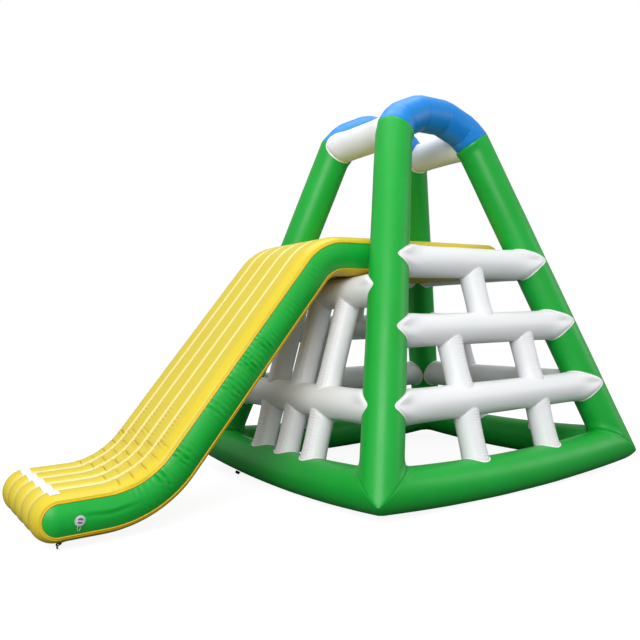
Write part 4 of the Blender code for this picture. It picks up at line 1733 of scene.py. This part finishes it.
    def build_chamber(self, valve_hole: Cutter) -> None:
        """Dresses the chamber around the hole for the valve's neck."""
        stations = self.stations()
        bm = sleeve(len(stations), self.whole, lambda turn, row: self.skin(row, stations[turn]))
        self.mark(bm, stations)
        cap_rims(bm)
        piece = finish_piece("skin_slide_chamber", bm, [Finish.YELLOW], ["slide_chamber"])
        carve(piece, valve_hole())

    def mark(self, bm: Mesh, stations: Sequence[Station]) -> None:
        """Marks the weld lines' painted highlight, the folds' painted shade and the underside's
        painted glow on the mesh for its material.
        """
        turn = bm.verts.layers.int["turn"]
        # Layers for the painted highlight along the weld lines and for the painted shade and glow.
        seam = bm.verts.layers.float.new("seam")
        fold = bm.verts.layers.float.new("fold")
        half = self.plan.half_width
        for vert in bm.verts:
            station = stations[vert[turn]]
            share = (vert.co.y + half) / (2 * half)
            column = min(1.0, max(0.0, share)) * self.whole
            vert[seam] = self.weld_line_highlight(column, station)
            vert[fold] = self.fold_shade_and_glow(column, station)

    def build_band(self) -> None:
        """Dresses the white band across the channels where the nose begins."""
        half = self.plan.core_half
        length = self.band_back + math.radians(self.band_front_deg) * half
        margin = self.columns / 4
        width = self.whole - 2 * margin

        def place(row: int, column: int) -> Vector:
            reach = row / self.band_rows * length - self.band_back
            here = self.nose_station(max(0.0, reach) / half, self.nose)
            if reach < 0:
                level = here.point - Vector((reach, 0, 0))
                here = Station(level, here.out, here.region, here.run)
            skin = self.skin(margin + width * (column / self.band_columns), here)
            return skin + here.out * (2 * self.band_thickness)

        bm = sheet(self.band_rows, self.band_columns, place)
        bm.normal_update()
        if sum(face.normal.z for face in bm.faces) < 0:
            bmesh.ops.reverse_faces(bm, faces=bm.faces[:])
        bmesh.ops.solidify(bm, geom=bm.faces[:], thickness=self.band_thickness)
        finish_piece("skin_nose_band", bm, [Finish.BAND], ["nose_band"], sharp=60)


@dataclass(frozen=True)
class FoldGroup:
    """A group of short folds across a side wall.

    Args:
        run: Where its middle is along the wall.
        spread: How far it spreads along the wall.
        pitch: The distance between its folds.
        depth: The folds' depth.
        low: The lowest share of the wall's height that it reaches, from -1.
        high: The highest share that it reaches, up to 1.
        lean: How far a fold leans over half the wall's height.
        waver: How far a fold wavers.
        varied: How much the folds' lower and upper reach and their depth vary.
        ends: How softly a fold ends.
        sharpness: How fast a fold comes up again, in half pitches.
        puff: The share of the depth, the place and the width of what puffs up between.
    """

    run: float
    spread: float
    pitch: float
    depth: float
    low: float
    high: float
    lean: float = 0.012
    waver: float = 0.010
    varied: tuple[float, float, float] = (0.3, 0.2, 0.7)
    ends: Stretch = Stretch(0, 0.5, 0, 0.3)
    sharpness: float = 0.24
    puff: tuple[float, float, float] = (0.35, 0.75, 0.35)

    def relief(self, run: float, share: float, seed: float) -> float:
        """The relief of the group at a run and height share."""
        waver = self.waver * stir_flat(run, 0.2 * share, 8, seed)
        bent = run + self.lean * share + waver
        count = round(bent / self.pitch)
        pick = stir_flat(count * 2.3, self.pitch * 40, 1.0, seed)
        less, more, deeper = self.varied
        height = self.ends.at(share, self.low + less * pick, self.high - more * pick)
        off = abs(bent / self.pitch - count) * 2
        amount, place, width = self.puff
        dip = math.exp(-off / self.sharpness) - amount * bell(off - place, width)
        depth = -self.depth * (1.0 + deeper * pick)
        return depth * dip * height * bell(run - self.run, self.spread)


@dataclass
class SideWall:
    """A green side wall with its piping.

    Args:
        plan: The slide's sizes.
        sy: The sign of the wall's side.
    """

    plan: SlidePlan
    sy: int
    step: float = 0.010
    columns: int = 22
    nose_steps: int = 26
    swell: float = 0.0022
    ridge: float = 0.0045
    ridge_share: float = 0.28
    ridge_waver: float = 0.10
    ridge_width: float = 0.16
    ridge_zone: Stretch = Stretch(-0.30, 0.25, -0.02, 0.30)
    trough: float = 0.0060
    trough_below: float = 0.26
    trough_width: float = 0.14
    edge_share: float = 0.18
    nose_fade: float = 0.7
    piping_radius: float = 0.0050
    piping_lift: float = 0.7
    piping_out: float = 0.9
    piping_kink: float = 0.0012
    piping_step: float = 0.014
    piping_turns: int = 10
    piping_bend: int = 40

    def __post_init__(self) -> None:
        """Works out the wall's flat back, its length and its folds."""
        _, down, foot, _, self.nose = self.plan.marks
        self.inner = self.plan.half_width + self.plan.wall_gap
        self.length = self.nose - self.plan.wall_start
        self.centre = self.plan.at(self.nose)[0]
        self.folds = [
            FoldGroup(down + 0.06, 0.07, 0.050, 0.0060, -0.3, 1.2),
            FoldGroup(down + 0.42, 0.09, 0.046, 0.0060, -0.6, 0.9),
            FoldGroup(down + 0.78, 0.10, 0.042, 0.0150, -0.9, 1.3),
            FoldGroup(down + 0.98, 0.08, 0.038, 0.0160, -0.9, 1.2),
            FoldGroup(down + 1.20, 0.09, 0.044, 0.0140, -0.8, 1.3),
            FoldGroup(down + 1.42, 0.08, 0.048, 0.0120, -0.8, 1.2),
            FoldGroup(foot - 0.05, 0.08, 0.044, 0.0140, -0.6, 1.3),
            FoldGroup(foot + 0.18, 0.08, 0.050, 0.0130, -0.6, 1.3),
            FoldGroup(foot + 0.38, 0.06, 0.046, 0.0050, 0.0, 1.2),
            FoldGroup(foot + 0.34, 0.12, 0.052, 0.0070, -1.4, -0.4),
            FoldGroup(self.nose - 0.10, 0.05, 0.045, 0.0025, 0.3, 1.2),
        ]

    def crown(self, share: float) -> float:
        """How far the plain wall stands out at a height share."""
        plan = self.plan
        return plan.wall_lip + (plan.wall_bulge - plan.wall_lip) * (1 - share * share)

    def relief(self, run: float, share: float) -> float:
        """The wall's folds, its long ridge and its soft unevenness."""
        level = self.plan.marks[3]
        total = sum(group.relief(run, share, 7 + self.sy) for group in self.folds)
        off = share - (self.ridge_share + self.ridge_waver * stir_flat(run, 0, 7, 3 + self.sy))
        ridge = self.ridge * bell(off, self.ridge_width)
        trough = self.trough * bell(off + self.trough_below, self.trough_width)
        total += self.ridge_zone.at(run, level, self.nose) * (ridge - trough)
        total += self.swell * stir_flat(run, share * 0.1, 7, 15 + self.sy)
        return total * ease((1 - abs(share)) / self.edge_share)

    def build(self, cutters: Sequence[Cutter] = ()) -> None:
        """Dresses the wall, with room for what the cutters' shapes fill."""
        plan = self.plan
        straight = round(self.length / self.step)

        def place(row: int, column: int) -> Vector:
            share = 2 * column / self.columns - 1
            if row <= straight:
                run = plan.wall_start + self.length * row / straight
                point, up = plan.at(run)
                spot = point + up * (plan.wall_half * share)
                out = self.crown(share) + self.relief(run, share)
            else:
                turn = math.pi / 2 * (row - straight) / self.nose_steps
                x = -math.sin(turn) * plan.wall_half
                z = math.cos(turn) * plan.wall_half * share
                spot = self.centre + Vector((x, 0, z))
                fade = 1 - ease(turn / self.nose_fade)
                out = self.crown(min(1.0, math.hypot(x, z) / plan.wall_half))
                out += self.relief(self.nose, share) * fade
            return Vector((spot.x, self.sy * (self.inner + out), spot.z))

        bm = sheet(straight + self.nose_steps, self.columns, place)
        bmesh.ops.remove_doubles(bm, verts=bm.verts[:], dist=1e-5)
        rim = [edge for edge in bm.edges if edge.is_boundary]
        for thing in bmesh.ops.extrude_edge_only(bm, edges=rim)["geom"]:
            if isinstance(thing, bmesh.types.BMVert):
                thing.co.y = self.sy * self.inner
        cap_rims(bm)
        name = f"slide_wall_{flank(self.sy)}"
        piece = finish_piece(f"skin_{name}", bm, [Finish.GREEN], [name])
        for cutter in cutters:
            carve(piece, cutter())

    def build_piping(self) -> None:
        """Dresses the piping round the wall: over it, round the nose and under it."""
        half = self.plan.wall_half + self.piping_radius * self.piping_lift
        straight = round(self.length / self.piping_step)
        rows = 2 * straight + self.piping_bend

        def spine(row: int) -> Spot:
            step = min(row, rows - row)
            if step <= straight:
                run = self.plan.wall_start + self.length * step / straight
                sign = 1 if row <= straight else -1
                point, up = self.plan.at(run)
                kink = self.piping_kink * stir_flat(run, sign, 11, 5 + self.sy)
                return point + up * (sign * (half + kink)), up * sign
            out = tipped(math.pi * (row - straight) / self.piping_bend)
            return self.centre + out * half, out

        def place(turn: int, row: int) -> Vector:
            point, out = spine(row)
            angle = math.tau * turn / self.piping_turns
            y = self.sy * (self.inner + self.piping_radius * (self.piping_out + math.sin(angle)))
            lifted = point + out * (self.piping_radius * math.cos(angle))
            return Vector((lifted.x, y, lifted.z))

        bm = sleeve(self.piping_turns, rows, place)
        cap_rims(bm)
        finish_piece(f"piping_{flank(self.sy)}", bm, [Finish.PIPING])


@dataclass
class ValveSeat:
    """The room that the wall and chamber leave for the valve, in metres."""

    seat_radius: float = 0.0385
    seat_depth: float = 0.0002
    neck_radius: float = 0.0225
    neck_depth: float = 0.055
    front: float = -0.05
    flange_depth: float = 0.0075
    turns: int = 64

    @cached_property
    def centre(self) -> Vector:
        """The middle of the flange's back."""
        low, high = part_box("valve_flange")
        middle = (low + high) / 2
        return Vector((middle.x, low.y + self.flange_depth, middle.z))

    def drum(self, radius: float, back: float) -> Mesh:
        """A drum on the valve's axis, down to a depth behind the flange's back."""
        bm = bmesh.new()
        size = {"radius1": radius, "radius2": radius, "depth": back - self.front}
        bmesh.ops.create_cone(bm, cap_ends=True, segments=self.turns, **size)
        for vert in bm.verts:
            x, y, z = vert.co
            vert.co = self.centre + Vector((x, z + (self.front + back) / 2, y))
        return bm

    def recess(self) -> Mesh:
        """The shallow recess under the flange."""
        return self.drum(self.seat_radius, self.seat_depth)

    def bore(self) -> Mesh:
        """The hole for the neck."""
        return self.drum(self.neck_radius, self.neck_depth)


def build_slide() -> None:
    """Dresses the slide's chamber, band, walls and piping."""
    plan, seat = SlidePlan(), ValveSeat()
    skin = SlideSkin(plan)
    skin.build_chamber(seat.bore)
    skin.build_band()
    for sy, cutters in ((-1, (seat.recess, seat.bore)), (1, ())):
        wall = SideWall(plan, sy)
        wall.build(cutters)
        wall.build_piping()


# Small fittings


@dataclass
class Ribbon:
    """A flat strap of webbing laid along a path.

    Args:
        name: The piece's name.
        path: The strap's middle line.
        across: The way of its width.
        width: Its width.
        thickness: Its thickness.
        replaced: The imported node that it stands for.
    """

    name: str
    path: Sequence[Vector]
    across: Vector
    width: float
    thickness: float
    replaced: str
    cross_steps: int = 8
    curl: float = 0.0005

    def build(self) -> None:
        """Lays the strap, with slightly curled edges."""
        rows = len(self.path) - 1

        def place(row: int, column: int) -> Vector:
            share = 2 * column / self.cross_steps - 1
            before, after = self.path[max(0, row - 1)], self.path[min(rows, row + 1)]
            normal = (after - before).cross(self.across).normalized()
            aside = self.across * (self.width / 2 * share)
            return self.path[row] + aside + normal * (self.curl * share**4)

        bm = sheet(rows, self.cross_steps, place)
        bm.normal_update()
        bmesh.ops.solidify(bm, geom=bm.faces[:], thickness=self.thickness)
        finish_piece(self.name, bm, [Finish.WEBBING], [self.replaced])


def arc(
    centre: Vector, first: Vector, second: Vector, radius: float, degrees: float, steps: int
) -> list[Vector]:
    """Points round an arc.

    Args:
        centre: The arc's centre.
        first: The way to its start.
        second: The way a quarter turn on.
        radius: Its radius.
        degrees: How far it goes round.
        steps: How many steps it takes.

    Returns:
        The points.
    """
    turns = [math.radians(degrees) * index / steps for index in range(steps + 1)]
    return [centre + turned(first, second, turn) * radius for turn in turns]


def line(start: Vector, end: Vector, steps: int) -> list[Vector]:
    """Points along a line, without its end."""
    return [start.lerp(end, index / steps) for index in range(steps)]


@dataclass
class Fittings:
    """The mooring straps and rings, the base loop and the valve's parts, in metres."""

    eye_radius: float = 0.0045
    eye_inset: float = 0.003
    eye_wrap: float = 0.0022
    eye_degrees: float = 200
    strap_width: float = 0.024
    strap_thickness: float = 0.0016
    patch_length: float = 0.045
    fold_back: float = 0.026
    fold_drop: float = 0.001
    hem_radius: float = 0.0012
    tail_length: float = 0.030
    tail_lift: float = 0.0022
    ring_radius: float = 0.003
    ring_corner: float = 0.006
    ring_rows: int = 96
    ring_turns: int = 14
    bar_share: float = 0.25
    bow_width_power: float = 0.78
    bow_drop_power: float = 0.9
    loop_tilt_deg: float = 30
    loop_radius: float = 0.0125
    loop_half: float = 0.038
    loop_gap: float = 0.016
    loop_drop: float = 0.018
    loop_width: float = 0.034
    loop_thickness: float = 0.0018
    grip_depth: float = 0.0025
    stem_travel: float = 0.0042

    def build_strap(self, word: str) -> None:
        """Dresses a mooring strap: a patch under the nose, a slope and an eye."""
        low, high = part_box(f"mooring_strap_{word}")
        y = (low.y + high.y) / 2
        inset = self.eye_radius + self.eye_inset
        eye = Vector((low.x + inset, y, low.z + inset))
        top = high.z - self.hem_radius
        rear = Vector((high.x, y, top))
        front = Vector((high.x - self.patch_length, y, top))
        fold = Vector((high.x - self.fold_back, y, top - self.strap_thickness))
        radius = self.eye_radius + self.eye_wrap
        slope = (fold - eye).normalized()
        over = Vector((-slope.z, 0, slope.x))
        hem = front - UP * self.hem_radius
        bend = fold - UP * self.fold_drop
        path = line(rear, front, 14)
        path += arc(hem, UP, Vector((-1, 0, 0)), self.hem_radius, 180, 6)
        path += line(front - UP * (2 * self.hem_radius), bend, 6)
        path += line(bend, eye + over * radius, 16)
        path += arc(eye, over, -slope, radius, self.eye_degrees, 18)
        tail = path[-1]
        path += line(tail, tail + slope * self.tail_length + over * self.tail_lift, 10)
        sizes = (ACROSS, self.strap_width, self.strap_thickness)
        Ribbon(f"webbing_strap_{word}", path, *sizes, f"mooring_strap_{word}").build()

    def build_ring(self, word: str) -> None:
        """Dresses a D-shaped mooring ring with a smooth round bar."""
        name = f"mooring_ring_{word}"
        low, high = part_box(name)
        y = (low.y + high.y) / 2
        x = (low.x + high.x) / 2
        half = (high.y - low.y) / 2 - self.ring_radius
        bar_z = high.z - self.ring_radius
        drop = bar_z - low.z - self.ring_radius
        bar = half - self.ring_corner

        def spine(share: float) -> Vector:
            if share < self.bar_share:
                return Vector((x, y - bar + 2 * bar * share / self.bar_share, bar_z))
            turn = math.pi * (share - self.bar_share) / (1 - self.bar_share)
            wide = math.copysign(abs(math.cos(turn)) ** self.bow_width_power, math.cos(turn))
            deep = math.sin(turn) ** self.bow_drop_power
            return Vector((x, y + half * wide, bar_z - drop * deep))

        def place(turn: int, row: int) -> Vector:
            share = (row % self.ring_rows) / self.ring_rows
            way = (spine((share + 0.01) % 1) - spine((share - 0.01) % 1)).normalized()
            side = Vector((1, 0, 0))
            out = turned(side, way.cross(side), math.tau * turn / self.ring_turns)
            return spine(share) + out * self.ring_radius

        bm = sleeve(self.ring_turns, self.ring_rows, place)
        bmesh.ops.remove_doubles(bm, verts=bm.verts[:], dist=1e-6)
        finish_piece(f"d_ring_{word}", bm, [Finish.RING], [name], body=f"ring_{word}")

    def build_base_loop(self) -> None:
        """Dresses the webbing loop under the slide's base tube."""
        low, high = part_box("base_loop")
        middle = (low + high) / 2
        tilt = math.radians(self.loop_tilt_deg)
        out = Vector((-math.sin(tilt), 0, -math.cos(tilt)))
        across = Vector((math.cos(tilt), 0, -math.sin(tilt)))
        seat = Vector((middle.x, middle.y, high.z - self.loop_drop))
        left, right = seat - ACROSS * self.loop_half, seat + ACROSS * self.loop_half
        path = line(left, seat - ACROSS * self.loop_gap, 10)
        path += arc(seat + out * self.loop_radius, -ACROSS, out, self.loop_radius, 180, 24)
        path += line(seat + ACROSS * self.loop_gap, right, 10) + [right]
        sizes = (across, self.loop_width, self.loop_thickness)
        Ribbon("webbing_base_loop", path, *sizes, "base_loop").build()

    def paint_valve(self) -> None:
        """Gives the valve's moulded parts and its spring their materials, with painted shade on
        the floors of the cap's grip recesses.
        """
        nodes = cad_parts
        for word in ("flange", "cap", "tether", "stem", "spring"):
            materials = nodes[f"valve_{word}"].data.materials
            materials.clear()
            materials.append(paint(Finish.SPRING if word == "spring" else Finish.VALVE))
        cap = nodes["valve_cap"].data
        # The grip recesses' floors take a darker material: painted shade.
        cap.materials.append(paint(Finish.GRIP))
        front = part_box("valve_cap")[0].y
        for face in cap.polygons:
            inset = face.center.y - front
            if face.normal.y < -0.9 and self.grip_depth / 2 < inset < 2 * self.grip_depth:
                face.material_index = 1
        spring = nodes["valve_spring"]
        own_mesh(spring)
        LOG.info("valve: five packed parts painted")

    def build(self) -> None:
        """Dresses all fittings."""
        for word in ("near", "far"):
            self.build_strap(word)
            self.build_ring(word)
        self.build_base_loop()
        self.paint_valve()


# Studio


@dataclass
class Studio:
    """Floor, lights and camera."""

    eye: Vector = field(default_factory=lambda: Vector((-3.6519, -5.2847, 1.537)))
    yaw: float = math.radians(34.474)
    pitch: float = math.radians(-0.305)
    roll: float = math.radians(-1.306)
    lens: float = 38.76
    sensor: float = 36
    clip: tuple[float, float] = (0.05, 200)
    floor_half: float = 40.0
    floor_depth: float = 0.0005
    floor_colour: Colour = (0.10, 0.11, 0.11)
    floor_seen: Colour = (0.79, 0.80, 0.81)
    floor_glow: float = 1.25
    floor_glow_share: float = 0.72
    world_light: float = 0.50

    def camera(self) -> None:
        """Sets the camera at the photograph's place."""
        ahead = Vector(
            (
                math.cos(self.pitch) * math.sin(self.yaw),
                math.cos(self.pitch) * math.cos(self.yaw),
                math.sin(self.pitch),
            )
        )
        right = Vector((math.cos(self.yaw), -math.sin(self.yaw), 0))
        over = right.cross(ahead)
        tilted = turned(right, over, self.roll)
        upward = turned(over, -right, self.roll)
        data = bpy.data.cameras.new("camera")
        data.lens = self.lens
        data.sensor_width = self.sensor
        data.clip_start, data.clip_end = self.clip
        camera = link("camera", data)
        matrix = camera.matrix_world.copy()
        for row in range(3):
            matrix[row][:] = tilted[row], upward[row], -ahead[row], self.eye[row]
        camera.matrix_world = matrix
        bpy.context.scene.camera = camera

    def floor(self) -> None:
        """Lays the pale floor, which the camera sees white but for the shadow."""
        bm = bmesh.new()
        bmesh.ops.create_grid(bm, x_segments=1, y_segments=1, size=self.floor_half)
        floor = put("floor", bm)
        floor.location.z = -self.floor_depth
        sketch = Sketch("pale_floor")
        seen = sketch.add("ShaderNodeLightPath").outputs["Is Camera Ray"]
        colour = sketch.blend(seen, self.floor_colour, self.floor_seen)
        sketch.done(Base_Color=colour, Roughness=0.55)
        white = (1, 1, 1, 1)
        glow = sketch.add("ShaderNodeEmission", Strength=self.floor_glow, Color=white)
        share = sketch.spread(seen, 0, self.floor_glow_share, 0, 1)
        mix = sketch.add("ShaderNodeMixShader", Fac=share)
        sketch.tree.links.new(sketch.shader.outputs["BSDF"], mix.inputs[1])
        sketch.tree.links.new(glow.outputs["Emission"], mix.inputs[2])
        sketch.join(sketch.tree.nodes["Material Output"], Surface=mix.outputs["Shader"])
        floor.data.materials.append(sketch.material)

    def world(self) -> None:
        """A white surrounding that lights less than it shows."""
        world = bpy.data.worlds.new("studio")
        world.use_nodes = True
        tree = world.node_tree
        back = tree.nodes["Background"]
        rays = tree.nodes.new("ShaderNodeLightPath")
        either = tree.nodes.new("ShaderNodeMath")
        either.operation = "MAXIMUM"
        tree.links.new(rays.outputs["Is Camera Ray"], either.inputs[0])
        tree.links.new(rays.outputs["Is Transmission Ray"], either.inputs[1])
        level = tree.nodes.new("ShaderNodeMapRange")
        tree.links.new(either.outputs["Value"], level.inputs["Value"])
        level.inputs["To Min"].default_value = self.world_light
        level.inputs["To Max"].default_value = 1.0
        back.inputs["Color"].default_value = (1, 1, 1, 1)
        tree.links.new(level.outputs["Result"], back.inputs["Strength"])
        bpy.context.scene.world = world

    def lamp(self, name: str, place: Vector, size: float, power: float) -> None:
        """A soft square lamp aimed at the tower's middle."""
        data = bpy.data.lights.new(name, "AREA")
        data.shape = "SQUARE"
        data.size = size
        data.energy = power
        lamp = link(name, data)
        lamp.location = place
        lamp.rotation_euler = (Vector((0.2, 0, 1.4)) - place).to_track_quat("-Z", "Y").to_euler()

    def build(self) -> None:
        """Sets up the whole studio."""
        self.camera()
        self.floor()
        self.world()
        self.lamp("key", Vector((-7.5, -7.0, 6.5)), 7.0, 980)
        self.lamp("top", Vector((0.5, 0.5, 9.0)), 6.0, 300)
        self.lamp("fill", Vector((8.0, -6.0, 4.0)), 4.0, 110)
        bpy.context.scene.view_settings.view_transform = "Standard"


def main() -> None:
    """Builds the studio and dresses the tower, its ladders, its slide and its fittings."""
    logging.basicConfig(level=logging.INFO, format="%(name)s %(message)s")
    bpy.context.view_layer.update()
    Studio().build()
    tower = TowerFrame(TowerPlan())
    tower.build()
    build_sides(tower)
    build_slide()
    Fittings().build()


if __name__ == "__main__":
    main()
